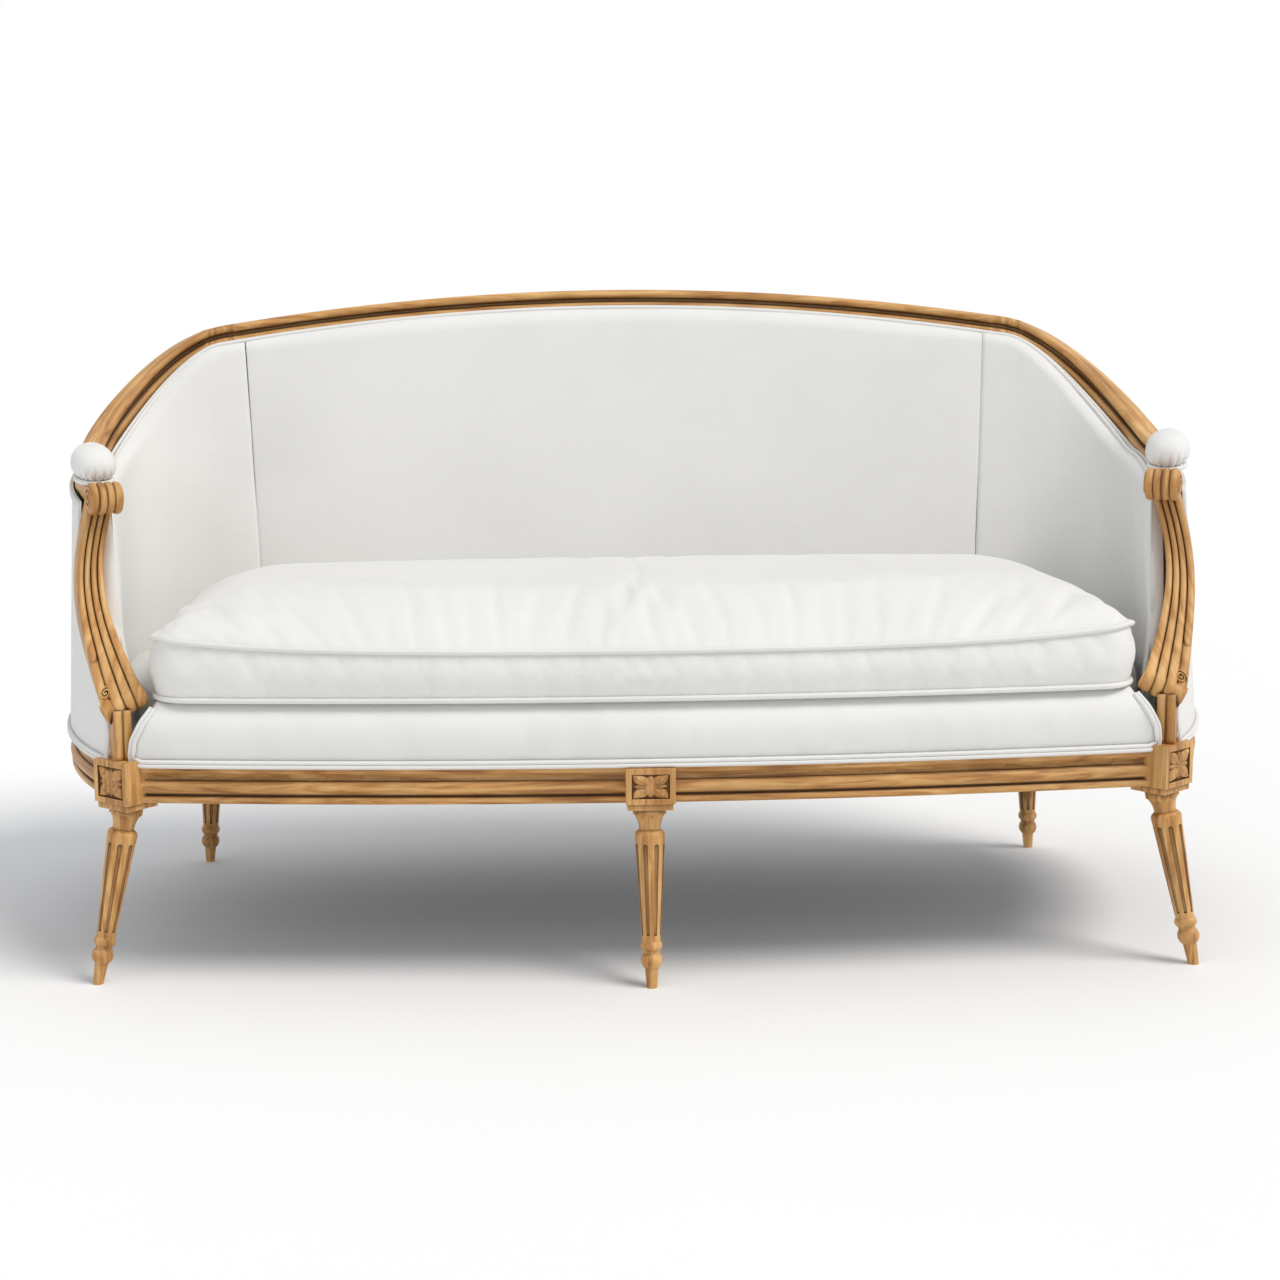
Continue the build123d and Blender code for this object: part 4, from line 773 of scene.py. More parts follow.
# Joint lines across the top rail
# The stile's head is butted between the crest and the arm, and each butt shows as a thin dark line.
# A film of old wax fills the line, as wide as the saw kerf that the joiner left.
WAX_BLACK = (0.02, 0.009, 0.003)
KERF = 0.0011
KERF_GROWTH = 1 + 0.00015 / 0.018
STILE_HALF = 0.026
RAIL_MIDDLE = -TOP_RAIL_HEIGHT / 2
RAIL_SECTION = (
    (0.017, -0.036), (0.017, -0.006), (0.0155, -0.0022), (0.011, 0.0), (-0.010, 0.0), (-0.0165, -0.0016),
    (-0.019, -0.006), (-0.0175, -0.0108), (-0.013, -0.014), (-0.0106, -0.0155), (-0.010, -0.017),
    (-0.0110, -0.0188), (-0.014, -0.020), (-0.0190, -0.0236), (-0.021, -0.028), (-0.0192, -0.0328),
    (-0.015, -0.036),
)

kerf_wax = two_tone("kerf_wax", (WAX_BLACK, WAX_AND_SHADE_DARK), (0.3, 0.7), (300, 300, 300), Roughness=0.7)
kerf_section = [
    (out * KERF_GROWTH, RAIL_MIDDLE + (up - RAIL_MIDDLE) * KERF_GROWTH) for out, up in RAIL_SECTION
]
kerfs = []
for q in (1 - STILE_HALF / TOP_LINE.length(0), 1 + STILE_HALF / TOP_LINE.length(1)):
    half = KERF / 2 / TOP_LINE.length(q)
    kerfs.append([[on_top_rail(stop, *spot) for spot in kerf_section] for stop in (q - half, q + half)])
joint_lines = paired_piece("joint_lines", kerfs, kerf_wax)
settle(joint_lines, "frame", "carved_wood")

# Webbing under the seat and behind the back
# Jute straps two inches wide, stretched and tacked to the rails, the lengthwise over the crosswise.
# They stay hidden between the covers and carry the stuffing.
JUTE = (0.40, 0.30, 0.18)
JUTE_DARK = (0.27, 0.19, 0.11)
JUTE_THREADS = (700, 250, 250)

jute_tones = (JUTE_DARK, JUTE)
jute_webbing = two_tone(
    "jute_webbing", jute_tones, (0.35, 0.65), JUTE_THREADS, 2.0, relief=(0.0008, 0.6), Roughness=0.9
)
finish_nodes(jute_webbing, "seat_webbing_crosswise", "seat_webbing_lengthwise", "back_webbing")

# Hessian over the seat webbing and the dust cover under the rails
# Two thin cloths cut to the inside of the seat frame and tacked round their edges.
# The hessian carries the deck's stuffing; the black cotton cover below keeps the dust in.
HESSIAN_BROWN = (0.43, 0.33, 0.20)
HESSIAN_PITCH = 0.004
HESSIAN_SAG = -0.0001
COVER_BLACK = (0.022, 0.022, 0.025)
COVER_PITCH = 0.0012
COVER_SAG = 0.004
CLOTH_THICKNESS = 0.0008
CLOTH_FACET = 0.035
CLOTH_RIPPLE = 0.0006
TACKED_REACH = 0.08


def coarse_cloth(name, colour, pitch):
    """Plain weave drawn on the flat, with uneven threads."""
    finish = Finish(name, Roughness=0.9)
    place = finish.place()
    x, y, _ = finish.split(place)
    warp, weft = (finish.math("SINE", finish.times(axis, 2 * pi / pitch)) for axis in (x, y))
    weave = finish.times(warp, weft)
    shade = finish.plus(finish.times(weave, 0.12), finish.noise(place, 60.0))
    dark = tuple(channel * 0.6 for channel in colour)
    tone = finish.ramp(shade, (0.3, dark), (0.7, colour))
    return finish.dress(Base_Color=tone, Normal=finish.bump(weave, 0.0004, 0.4))


def thicken(piece, thickness, offset):
    solidify = piece.modifiers.new("thickness", "SOLIDIFY")
    solidify.thickness = thickness
    solidify.offset = offset
    return piece


def cut_cloth(name, node, sag, material):
    """A cloth with the node's outline and holes, sagging a little in the middle."""
    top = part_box(node)[1].z - CLOTH_THICKNESS
    work = bmesh.new()
    work.from_mesh(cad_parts[node].data)
    bmesh.ops.remove_doubles(work, verts=work.verts, dist=1e-5)
    upper = [face for face in work.faces if face.normal.z > -0.5]
    bmesh.ops.delete(work, geom=upper, context="FACES")
    for _ in range(5):
        long_edges = [edge for edge in work.edges if edge.calc_length() > CLOTH_FACET]
        bmesh.ops.subdivide_edges(work, edges=long_edges, cuts=1)
        bmesh.ops.triangulate(work, faces=work.faces)
    rim = np.array([(vert.co.x, vert.co.y) for vert in work.verts if vert.is_boundary])
    for vert in work.verts:
        inside = np.sqrt(((rim - (vert.co.x, vert.co.y)) ** 2).sum(1).min())
        dip = 1 - exp(-inside / TACKED_REACH)
        vert.co.z = top - sag * dip + CLOTH_RIPPLE * noise.noise(vert.co * 22) * dip
    return thicken(smooth_piece(name, work, material), CLOTH_THICKNESS, -1)


hessian_weave = coarse_cloth("hessian", HESSIAN_BROWN, HESSIAN_PITCH)
hessian = cut_cloth("hessian_cloth", "seat_hessian", HESSIAN_SAG, hessian_weave)
settle(hessian, "frame", "hessian", "seat_hessian")
black_cotton = coarse_cloth("black_cotton", COVER_BLACK, COVER_PITCH)
dust_cover = cut_cloth("dust_cover_cloth", "dust_cover", COVER_SAG, black_cotton)
settle(dust_cover, "frame", "dust_cloth", "dust_cover")

# Stuffed deck
# A firm platform of hair and wadding on the hessian, under a linen cover drawn over a rolled front.
# The cover is pulled down to the front rail and tacked, so its face shows soft upright folds.
LINEN = (0.805, 0.795, 0.770)
LINEN_SHADE = (0.775, 0.765, 0.738)
LINEN_SLUB = (0.70, 0.68, 0.64)
THREAD_PITCH = 0.0011
THREAD_WANDER = 0.004
DECK_BASE = 0.310
DECK_TOP = 0.394
DECK_RISE = DECK_TOP - DECK_BASE
DECK_FRONT = 0.003
DECK_CORNERS = ((0, 0.7126), (0.12, 0.7126), (0.4, 0.7086), (0.7, 0.6958), (0.9, 0.683), (1, 0.679))
DECK_LEVELS = 18
DECK_FOLD = 0.0022
DECK_CREASE = 0.0009
PAD_BACK = 0.011
PAD_DEPTH = 0.045
SEAT_WALL_INSET = PAD_BACK + PAD_DEPTH + 0.008


def linen(name, weave_depth=0.35):
    """Off-white plain weave with slubs, which follows whichever way the surface faces."""
    finish = Finish(name, Roughness=0.88, Specular_IOR_Level=0.25)
    finish.dress(Sheen_Weight=0.15, Sheen_Roughness=0.5)
    place = finish.place()

    def vector(operation, first, *second):
        inputs = dict(enumerate((first, *second)))
        return finish.add("ShaderNodeVectorMath", inputs, operation=operation)

    facing = finish.split(vector("ABSOLUTE", place.node.outputs["Normal"]))
    inputs = {"Vector": place, "Scale": 45.0, "Detail": 1.0}
    wander = finish.add("ShaderNodeTexNoise", inputs, out="Color")
    axes = finish.split(vector("ADD", place, vector("MULTIPLY", wander, (THREAD_WANDER,) * 3)))
    waves = [finish.math("SINE", finish.times(axis, 2 * pi / THREAD_PITCH)) for axis in axes]
    weave = None
    for face, first, second in ((0, 1, 2), (1, 0, 2), (2, 0, 1)):
        share = finish.math("POWER", facing[face], 4.0)
        part = finish.times(finish.times(waves[first], waves[second]), share)
        weave = finish.plus(weave, part) if weave else part
    runs = ((520, 520, 26), (26, 26, 520))
    slub = finish.math("MAXIMUM", *(finish.noise(finish.stretch(place, run), 1.0, 2.0) for run in runs))
    colour = finish.ramp(finish.noise(place, 5.5), (0.3, LINEN_SHADE), (0.6, LINEN))
    thread = finish.times(finish.level(slub, 0.55, 0.8), 0.22)
    colour = finish.mix(thread, colour, (*LINEN_SLUB, 1))
    relief = finish.bump(slub, 0.0006, 0.3, finish.bump(weave, 0.0003, weave_depth))
    return finish.dress(Base_Color=colour, Normal=relief)


off_white_linen = linen("off_white_linen")


def arc_points(radius, first_x, last_x, count):
    """Points of a wide arc round the front rail's centre."""
    stops = spread(first_x, last_x, count)
    return [Vector((x, FRONT_CENTRE - (radius**2 - x**2) ** 0.5, 0)) for x in stops]


def seat_plan(wall_inset, front_inset, corner_x, end_q=2.86):
    """Plan of the seat, anticlockwise: bowed front, slanted ends, then round the wings and back."""
    front = arc_points(FRONT_FACE - front_inset, -corner_x, corner_x, 150)
    wall = [LOW_LINE.point(q, -wall_inset)[0] for q in spread(end_q, 0, 110)]
    end = [front[-1].lerp(wall[0], share) for share in spread(0, 1, 14)[1:-1]]
    return front + both_halves(end + wall)


def deck_inset(share):
    return 0.024 * share**5 + 0.004 * (1 - share) ** 6 - 0.004 * sin(pi * share)


def deck_corner(share):
    return float(np.interp(share, *zip(*DECK_CORNERS)))


def deck_disc(rim, height, shares):
    """Rings that fill the deck's underside or its top."""
    middle = Vector((0, -0.06, height))
    flat_rim = [Vector((point.x, point.y, height)) for point in rim]
    return [[middle.lerp(point, share) for point in flat_rim] for share in shares]


deck_sides = []
for share in spread(0, 1, DECK_LEVELS):
    inset = deck_inset(share)
    ring = seat_plan(SEAT_WALL_INSET + max(inset, 0) / 3, DECK_FRONT + inset, deck_corner(share))
    deck_sides.append([Vector((point.x, point.y, DECK_BASE + DECK_RISE * share)) for point in ring])
foot_plan = seat_plan(SEAT_WALL_INSET, DECK_FRONT + deck_inset(0), deck_corner(0))
deck_under = deck_disc(foot_plan, DECK_BASE, (0.3, 0.7, 0.92))
deck_over = deck_disc(deck_sides[-1], DECK_TOP, (0.96, 0.9, 0.8, 0.66, 0.5, 0.32, 0.14))
deck_work = bmesh.new()
skin(deck_work, deck_under + deck_sides + deck_over)
for vert in deck_work.verts:
    if vert.co.y < -0.30 and vert.co.z > DECK_BASE + 0.004:
        share = (vert.co.z - DECK_BASE) / DECK_RISE
        fold = DECK_FOLD * noise.noise(Vector((vert.co.x * 26, 3.1, share * 1.3)))
        crease = DECK_CREASE * noise.noise(Vector((vert.co.x * 75, 7.7, share * 2.2)))
        vert.co.y -= (fold + crease) * sin(pi * min(share, 0.98)) ** 0.5
deck = smooth_piece("stuffed_deck", deck_work, off_white_linen)
settle(deck, "frame", "linen", "seat_deck")

# Stuffed inside back and wings
# Hair and wadding on the webbing under three linen covers: one for the back and one for each wing.
# They meet in sewn seams beside the stiles and are tacked up under the crest and the arms.
SEAM_LOW = 0.86
SEAM_TOP = 0.94
SEAM_BLEND = 1.25
SEAM_DIP = 0.013
SEAM_REACH = 0.3
SEAM_GAP = 0.0006
SEAM_DRAW = 0.045
SEAM_DRAW_REACH = 0.005
PAD_BASE = DECK_BASE + 0.0003
PAD_TOP_GAP = 0.002
PAD_RISE = 0.008
PAD_LIP = 0.0122
PAD_ROWS = 26
PAD_UNEVEN = 0.0016
SHOULDER = 0.6
WING_THIN_START = 2.45
WING_THIN_RUN = 0.4
WING_THIN = 0.48
WING_RUN = TOP_LINE.length(1) + 0.8 * TOP_LINE.length(2)
WING_CREASE = 0.0022


def seam_q(q, seam):
    """1 is the slanted seam between the back and the wing."""
    if q <= 1:
        return q * seam
    if q < SEAM_BLEND:
        return seam + (SEAM_BLEND - seam) * (q - 1) / (SEAM_BLEND - 1)
    return q


def pad_depth(q):
    """Stuffing's depth, less at the seam and towards the arm support."""
    thin = min(max((q - WING_THIN_START) / WING_THIN_RUN, 0), 1)
    dip = SEAM_DIP * max(0, 1 - abs(q - 1) / SEAM_REACH) ** 2
    return (PAD_DEPTH - dip) * (1 - WING_THIN * thin**2 * (3 - 2 * thin))


def pad_profile():
    """Kinds of place round the stuffing: up the face, over the top and down the back."""
    face = [("face", share) for share in spread(0, 1, PAD_ROWS)]
    brow = [("brow", share) for share in spread(0, 1, 9)[1:]]
    back = [("back", share) for share in spread(1, 0, 8)]
    return face + brow + [("lip", 0)] + back + [("foot", 0.4)]


def pad_brow(q, angle):
    """How far out and how high the rounded upper edge is, from its shoulder to its lip."""
    depth = pad_depth(q)
    out = -PAD_BACK - PAD_LIP - (0.85 * depth - PAD_LIP) * cos(angle)
    top = wall_top(seam_q(q, SEAM_TOP)) - PAD_TOP_GAP + PAD_RISE
    return out, top - SHOULDER * depth * (1 - sin(angle))


def pad_spot(q, kind, share):
    """How far outside the wall line, and how high."""
    depth = pad_depth(q)
    tuck = wall_top(seam_q(q, SEAM_TOP)) - PAD_TOP_GAP
    if kind == "face":
        fullness = 0.8 + 0.05 * share + 0.7 * share * (1 - share)
        return -PAD_BACK - depth * fullness, PAD_BASE + share * (pad_brow(q, 0)[1] - PAD_BASE)
    if kind == "brow":
        return pad_brow(q, share * pi / 2)
    if kind == "lip":
        return -PAD_BACK - PAD_LIP, tuck
    if kind == "back":
        return -PAD_BACK, PAD_BASE + share * (tuck - PAD_BASE)
    return -PAD_BACK - depth * share, PAD_BASE


def on_pad(q, out, height):
    return on_wall(seam_q(q, SEAM_LOW), seam_q(q, SEAM_TOP), out, height)


def pad_ring(q_at, squeeze):
    """One station of a stuffed wall; squeeze draws it in towards the seam."""
    ring = []
    for kind, share in PROFILE:
        q = q_at(0.6)
        for _ in range(2):
            out, height = pad_spot(q, kind, share)
            q = q_at(height)
        if kind in ("face", "brow"):
            out = min(-PAD_BACK + (out + PAD_BACK) * squeeze, -PAD_BACK - PAD_LIP)
        ring.append(on_pad(q, out, height))
    return ring


def seam_squeeze(distance):
    """The cover dips into its seam over the last few millimetres."""
    return 1 - SEAM_DRAW * exp(-distance / SEAM_DRAW_REACH)


def wing_q(share):
    """Where a station lies at a height, so far from the seam towards the arm support."""

    def q_at(height):
        return 1 + SEAM_GAP + (wall_end(-PAD_BACK - 0.02, height, 0.002) - 1 - SEAM_GAP) * share

    return q_at


def ease(work, size, seed):
    """Slow unevenness of hand-laid stuffing."""
    bmesh.ops.recalc_face_normals(work, faces=work.faces)
    work.normal_update()
    shift = Vector((seed, 2 * seed, 3 * seed))
    moves = [vert.normal * (PAD_UNEVEN * noise.noise(vert.co / size + shift)) for vert in work.verts]
    for vert, move in zip(work.verts, moves):
        vert.co += move


PROFILE = pad_profile()
back_stops = [1 - SEAM_GAP - gap for gap in (0, 0.004, 0.009, 0.017, 0.03)] + spread(0.95, 0, 64)
back_rings = []
for q in back_stops:
    back_rings.append(pad_ring(lambda height: q, seam_squeeze((1 - q) * TOP_LINE.length(0))))
back_work = bmesh.new()
skin(back_work, back_rings + mirrored(reversed(back_rings[:-1])))
ease(back_work, 0.17, 1.7)
inside_back = smooth_piece("stuffed_back", back_work, off_white_linen)
settle(inside_back, "frame", "linen", "inside_back")

wing_rings = []
for share in [0, 0.004, 0.010, 0.018, 0.03] + spread(0.045, 0.97, 74) + [0.98, 0.988, 0.995, 1]:
    round_end = 1 - 0.3 * max(0, 1 - (1 - share) * WING_RUN / 0.016) ** 2
    wing_rings.append(pad_ring(wing_q(share), seam_squeeze(share * WING_RUN) * round_end))
for side, label in SIDES:
    wing_work = bmesh.new()
    skin(wing_work, wing_rings if side > 0 else mirrored(wing_rings))
    ease(wing_work, 0.15, 4.1 * side)
    for vert in wing_work.verts:
        x, y, z = vert.co
        near = exp(-(((y - 0.20) / 0.10) ** 2) - ((z - 0.74) / 0.12) ** 2)
        crease = noise.noise(Vector((y * 38 + 0.35 * z * 38, 1.5 * side, z * 3)))
        vert.co.x -= side * WING_CREASE * near * crease
    wing = smooth_piece("stuffed_wing_" + label, wing_work, off_white_linen)
    settle(wing, "frame", "linen", "inside_wing_" + label)

# Outside back and wings
# Three linen covers stretched over the outside of the frame, from the seat rail to the crest and arms.
# Their edges are turned under and hidden by double welts.
OUTSIDE_OUT = 0.0205
OUTSIDE_THICKNESS = 0.0016
OUTSIDE_BASE = RAIL_TOP + 0.004
OUTSIDE_TUCK = 0.001
OUTSIDE_BELLY = 0.0008
OUTSIDE_COLUMNS = 90
OUTSIDE_ROWS = 40


def stretched_cover(name, place):
    """A linen sheet over places given by shares across and up, facing away from the sofa."""
    work = bmesh.new()
    across = spread(0, 1, OUTSIDE_COLUMNS)
    rows = [[work.verts.new(place(u, v)) for u in across] for v in spread(0, 1, OUTSIDE_ROWS)]
    tile(work, rows)
    work.normal_update()
    middle = sum((vert.co for vert in work.verts), Vector()) / len(work.verts)
    centre = plumb(middle.z)
    if sum(face.normal.dot(face.calc_center_median() - centre) for face in work.faces) < 0:
        bmesh.ops.reverse_faces(work, faces=work.faces)
    return thicken(smooth_piece(name, work, off_white_linen, outwards=False), OUTSIDE_THICKNESS, 0)


def cover_height(q, v):
    return OUTSIDE_BASE + (wall_top(q) - OUTSIDE_TUCK - OUTSIDE_BASE) * v


def cover_spot(q, height, v):
    belly = OUTSIDE_BELLY * noise.noise(Vector((q * 9, height * 5, 8.2))) * sin(pi * v)
    return on_wall(q, q, OUTSIDE_OUT + belly, height)


def outside_back_spot(u, v):
    q = abs(2 * u - 1) * (1 - SEAM_GAP)
    spot = cover_spot(q, cover_height(q, v), v)
    return flipped(spot) if u < 0.5 else spot


def outside_wing_spot(u, v):
    q = 1 + 1.9 * u
    for _ in range(3):
        height = cover_height(min(q, 2.99), v)
        q = 1 + SEAM_GAP + (wall_end(OUTSIDE_OUT, height, OUTSIDE_TUCK) - 1 - SEAM_GAP) * u
    return cover_spot(q, height, v)


outside_back = stretched_cover("outside_back_cover", outside_back_spot)
settle(outside_back, "frame", "linen", "outside_back")
for side, label in SIDES:
    wing_cover = stretched_cover(
        "outside_wing_cover_" + label,
        outside_wing_spot if side > 0 else lambda u, v: flipped(outside_wing_spot(u, v)),
    )
    settle(wing_cover, "frame", "linen", "outside_wing_" + label)

# Arm pads
# A short ball of stuffing on each arm behind the volute, its linen gathered in under a cord.
# The gathers show as pleats in its lower half, and the cover is tacked to the arm beneath the cord.
ARM_PAD_START = 2.66
ARM_PAD_END = 3 - 0.020 / TOP_LINE.length(2)
ARM_PAD_MIDDLE = (ARM_PAD_START + ARM_PAD_END) / 2
ARM_PAD_REACH = (ARM_PAD_END - ARM_PAD_START) / 2 * TOP_LINE.length(2)
ARM_PAD_BASE = -0.0144
ARM_PAD_HALF = 0.0315
ARM_PAD_HEIGHT = 0.058
PLEATS = 24
PLEAT_DEPTH = 0.0042
PLEAT_TOP = 0.60


def arm_pad_ring(along):
    """One section of the pad; along runs from -1 at the front to 1 at the back."""
    fullness = max(1 - abs(along) ** 2.6, 0) ** 0.45
    ring = []
    for angle in spread(-0.5 * pi, 1.5 * pi, 97)[:-1]:
        level = 0.5 + 0.5 * sin(angle) * fullness
        foot = max(0, 0.34 - level) / 0.34
        across = ARM_PAD_HALF * cos(angle) * fullness * (1 - 0.22 * foot**1.5)
        run = along * ARM_PAD_REACH * (1 - 0.12 * foot**1.5)
        bearing = atan2(across, run)
        gather = min(max((PLEAT_TOP - level) / 0.3, 0), 1)
        fold = PLEAT_DEPTH * (abs(cos(PLEATS / 2 * bearing)) - 0.75) * gather**1.5
        q = ARM_PAD_MIDDLE - (run + fold * cos(bearing)) / TOP_LINE.length(2)
        out = across + fold * sin(bearing)
        ring.append(on_top_rail(q, out, ARM_PAD_BASE + ARM_PAD_HEIGHT * level))
    return ring


arm_pad_rings = [arm_pad_ring(-cos(turn)) for turn in spread(0.06, pi - 0.25, 70)]
for side, label in SIDES:
    pad_work = bmesh.new()
    skin(pad_work, arm_pad_rings if side > 0 else mirrored(arm_pad_rings))
    pad = smooth_piece("arm_pad_cover_" + label, pad_work, off_white_linen)
    settle(pad, "frame", "linen", "arm_pad_" + label)

# Double welt under the crest and the arms
# Two linen-covered cords side by side along the top of the stuffing, from arm pad to arm pad.
# They are glued down last, over the tacked edge of the covers.
WELT_RADIUS = 0.003
CORD_SIDES = 10
BROW_ANGLES = (radians(88), radians(73))

graph, given = plant("cord", ("Cord radius", "Float"), ("Sides", "Int"), ("Cover", "Material"))
inputs = {"Radius": given["Cord radius"], "Resolution": given["Sides"]}
section = graph.add("GeometryNodeCurvePrimitiveCircle", inputs)
inputs = {"Curve": given["Geometry"], "Profile Curve": section, "Fill Caps": True}
cord_tree = ripen(graph, graph.add("GeometryNodeCurveToMesh", inputs), given["Cover"])
welt_linen = linen("welt_linen", 0.5)


def welt(name, lines, radius=WELT_RADIUS, closed=False):
    """Cords along lines of points, as one piece."""
    curve = bpy.data.curves.new(name + "_line", "CURVE")
    curve.dimensions = "3D"
    for line in lines:
        spline = curve.splines.new("POLY")
        spline.points.add(len(line) - 1)
        for point, place in zip(spline.points, line):
            point.co = (*place, 1)
        spline.use_cyclic_u = closed
    holder = piece_of(name + "_line", curve)
    return harvest(name, holder, cord_tree, Cord_radius=radius, Sides=CORD_SIDES, Cover=welt_linen)


brow_stops = spread(0, 0.999, 50) + spread(1.01, 2.82, 90)
brow_lines = []
for angle in BROW_ANGLES:
    half = []
    for q in brow_stops:
        out, height = pad_brow(q, angle)
        half.append(on_pad(q, out, height + WELT_RADIUS * 0.4))
    brow_lines.append([flipped(point) for point in reversed(half[1:])] + half)
brow_welt = welt("inner_double_welt", brow_lines)
settle(brow_welt, "frame", "linen")

# Double welt of the deck
# Two cords side by side along the deck's foot, glued over the tacks above the front rail.
# At each end the pair turns up beside the arm support's post and goes under the cushion.
WELT_HEIGHT = RAIL_TOP + 0.0003 + 2 * WELT_RADIUS
DECK_WELT_END = 0.700


def doubled(line, facings):
    """Two lines side by side along one, lying flat on a surface that faces the given ways."""
    pair = ([], [])
    for i, (place, facing) in enumerate(zip(line, facings)):
        along = line[min(i + 1, len(line) - 1)] - line[max(i - 1, 0)]
        aside = along.cross(facing).normalized() * (WELT_RADIUS * 0.97)
        pair[0].append(place + aside)
        pair[1].append(place - aside)
    return list(pair)


deck_line = []
for share in spread(0.92, 0.10, 14):
    inset = DECK_FRONT + deck_inset(share)
    spot = arc_points(FRONT_FACE - inset + 0.001, -deck_corner(share), 0, 2)[0]
    deck_line.append(spot + Vector((-0.0015, 0, DECK_BASE + DECK_RISE * share)))
deck_facing = [Vector((-0.45, -0.9, 0))] * len(deck_line)
for spot in arc_points(FRONT_FACE + 0.0006, -DECK_WELT_END, 0, 80):
    deck_line.append(spot + plumb(WELT_HEIGHT))
    deck_facing.append(Vector((0, -1, 0.12)))
deck_pair = doubled(deck_line, deck_facing)
seat_welt = welt("seat_double_welt", [both_halves(line) for line in deck_pair])
settle(seat_welt, "frame", "linen", "seat_welt")

# Double welts round the outside covers
# A pair of cords round three sides of each wing cover, and a closed pair round the outside back.
# They are glued over the tacks along the seat rail, the arm support, the arm and the crest.
RAKE = (STILE_HEAD[1] - STILE_FOOT[1]) / (STILE_TOP - RAIL_TOP)
FOOT_OUT = 0.017 + WELT_RADIUS * (1 + 4 * RAKE) + 0.0006
WELT_OUT = OUTSIDE_OUT + 0.002
WELT_LOW = RAIL_TOP + 0.016
WELT_HEAD_GAP = 0.012
WELT_GAP = 0.0075
RISE_Q = 1 - 0.006


def foot_run(first, last, count):
    stops = spread(first, last, count)
    line = [LOW_LINE.point(q, FOOT_OUT)[0] + plumb(WELT_HEIGHT) for q in stops]
    return line, [LOW_LINE.point(q)[1] for q in stops]


def top_run(first, last, count):
    stops = spread(first, last, count)
    line = [on_wall(q, q, WELT_OUT, wall_top(q) - 2.4 * WELT_RADIUS) for q in stops]
    return line, [TOP_LINE.point(q)[1] for q in stops]


def front_run(out, low, high, gap):
    """Up the front edge of the wall, behind the arm support."""
    heights = spread(low, high, 40)
    stops = [wall_end(out, height, gap) for height in heights]
    line = [on_wall(q, q, out, height) for q, height in zip(stops, heights)]
    return line, [LOW_LINE.point(q)[1] for q in stops]


def doubled_runs(*runs):
    lines, facings = zip(*runs)
    return doubled(sum(lines, []), sum(facings, []))


foot_end = wall_end(FOOT_OUT, RAIL_TOP + 0.01, 0.006)
head_q = wall_end(OUTSIDE_OUT, wall_top(2.85) - 0.01, 0.009)
wing_pair = doubled_runs(
    foot_run(1 + SEAM_GAP, foot_end, 70),
    front_run(WELT_OUT, WELT_LOW, wall_top(head_q) - WELT_HEAD_GAP, WELT_GAP),
    top_run(head_q, 1 + SEAM_GAP, 80),
)
for side, label in SIDES:
    outside_welt = welt("outside_double_welt_" + label, wing_pair if side > 0 else mirrored(wing_pair))
    settle(outside_welt, "frame", "linen", "outside_wing_welt_" + label)

rise_heights = spread(WELT_LOW, wall_top(1) - WELT_HEAD_GAP, 30)
rise = [on_wall(RISE_Q, RISE_Q, WELT_OUT, height) for height in rise_heights]
rise_facings = [TOP_LINE.point(RISE_Q)[1]] * len(rise)
back_pair = doubled_runs(
    foot_run(0, 1 - SEAM_GAP, 50), (rise, rise_facings), top_run(RISE_Q, 0, 50)
)
back_loops = [line + [flipped(point) for point in reversed(line[1:-1])] for line in back_pair]
back_welt = welt("outside_back_double_welt", back_loops, closed=True)
settle(back_welt, "frame", "linen", "outside_back_welt")

# Single welts inside the arm supports
# A thin cord in the corner between each wing and its support, from the cushion up to the arm.
# It is sewn into the front edge of the wing's cover and drawn against the wood.
inner_line, _ = front_run(-0.0260, 0.405, underside(2.9) - 0.006, 0.004)
inner_welt = welt("support_welt", [inner_line] + mirrored([inner_line]), radius=0.0022)
settle(inner_welt, "frame", "linen")

# Cords round the arm pads
# A thicker covered cord ties down the gathers at the foot of each pad.
# Its ends are tucked under behind the pad, where the arm hides them.
ARM_PAD_FOOT = 0.0262
PAD_CORD_RISE = 0.0062
PAD_CORD_SHARE = 0.42

pad_cord = []
for turn in spread(-0.86 * pi, 0.86 * pi, 60):
    q = ARM_PAD_MIDDLE + cos(turn) * PAD_CORD_SHARE * (ARM_PAD_END - ARM_PAD_START)
    pad_cord.append(on_top_rail(q, ARM_PAD_FOOT * sin(turn), ARM_PAD_BASE + PAD_CORD_RISE))
arm_cords = welt("arm_pad_cords", [pad_cord] + mirrored([pad_cord]), radius=0.0036)
settle(arm_cords, "frame", "linen")

# Loose seat cushion
# A box cushion of feather and foam: linen panels sewn to a band, with a welt in each seam.
# It lies on the deck and lifts off; the seams draw its edges in and pucker the linen beside them.
CUSHION_HALF = 0.685
CUSHION_FLARE = radians(2)
CUSHION_FRONT = FRONT_FACE - 0.014
CUSHION_BACK_GAP = 0.064
CUSHION_BASE = 0.3943
CUSHION_SEAM = 0.4640
FRONT_CORNER = 0.060
FRONT_STEPS = 25
REAR_CORNER = 0.150
REAR_STEPS = 41
CORNER_LIFT = 0.020
CORNER_REACH = 0.15
CUSHION_CROWN = 0.056
CROWN_REACH = 0.060
BASE_ROUND = 0.005
ROUND_REACH = 0.008
CUSHION_COLUMNS = 158
CUSHION_DEPTHS = 62
BAND_ROWS = 8
BAND_SWELL = 0.006
CUSHION_WELT_RADIUS = 0.004
CUSHION_WELT_OUT = 0.0022
CUSHION_PRESSURE = 4.0
CUSHION_MOVE = 0.022
CUSHION_SLACK = -0.025
CREASE_DEPTH = 0.0020
CREASE_REACH = 0.05


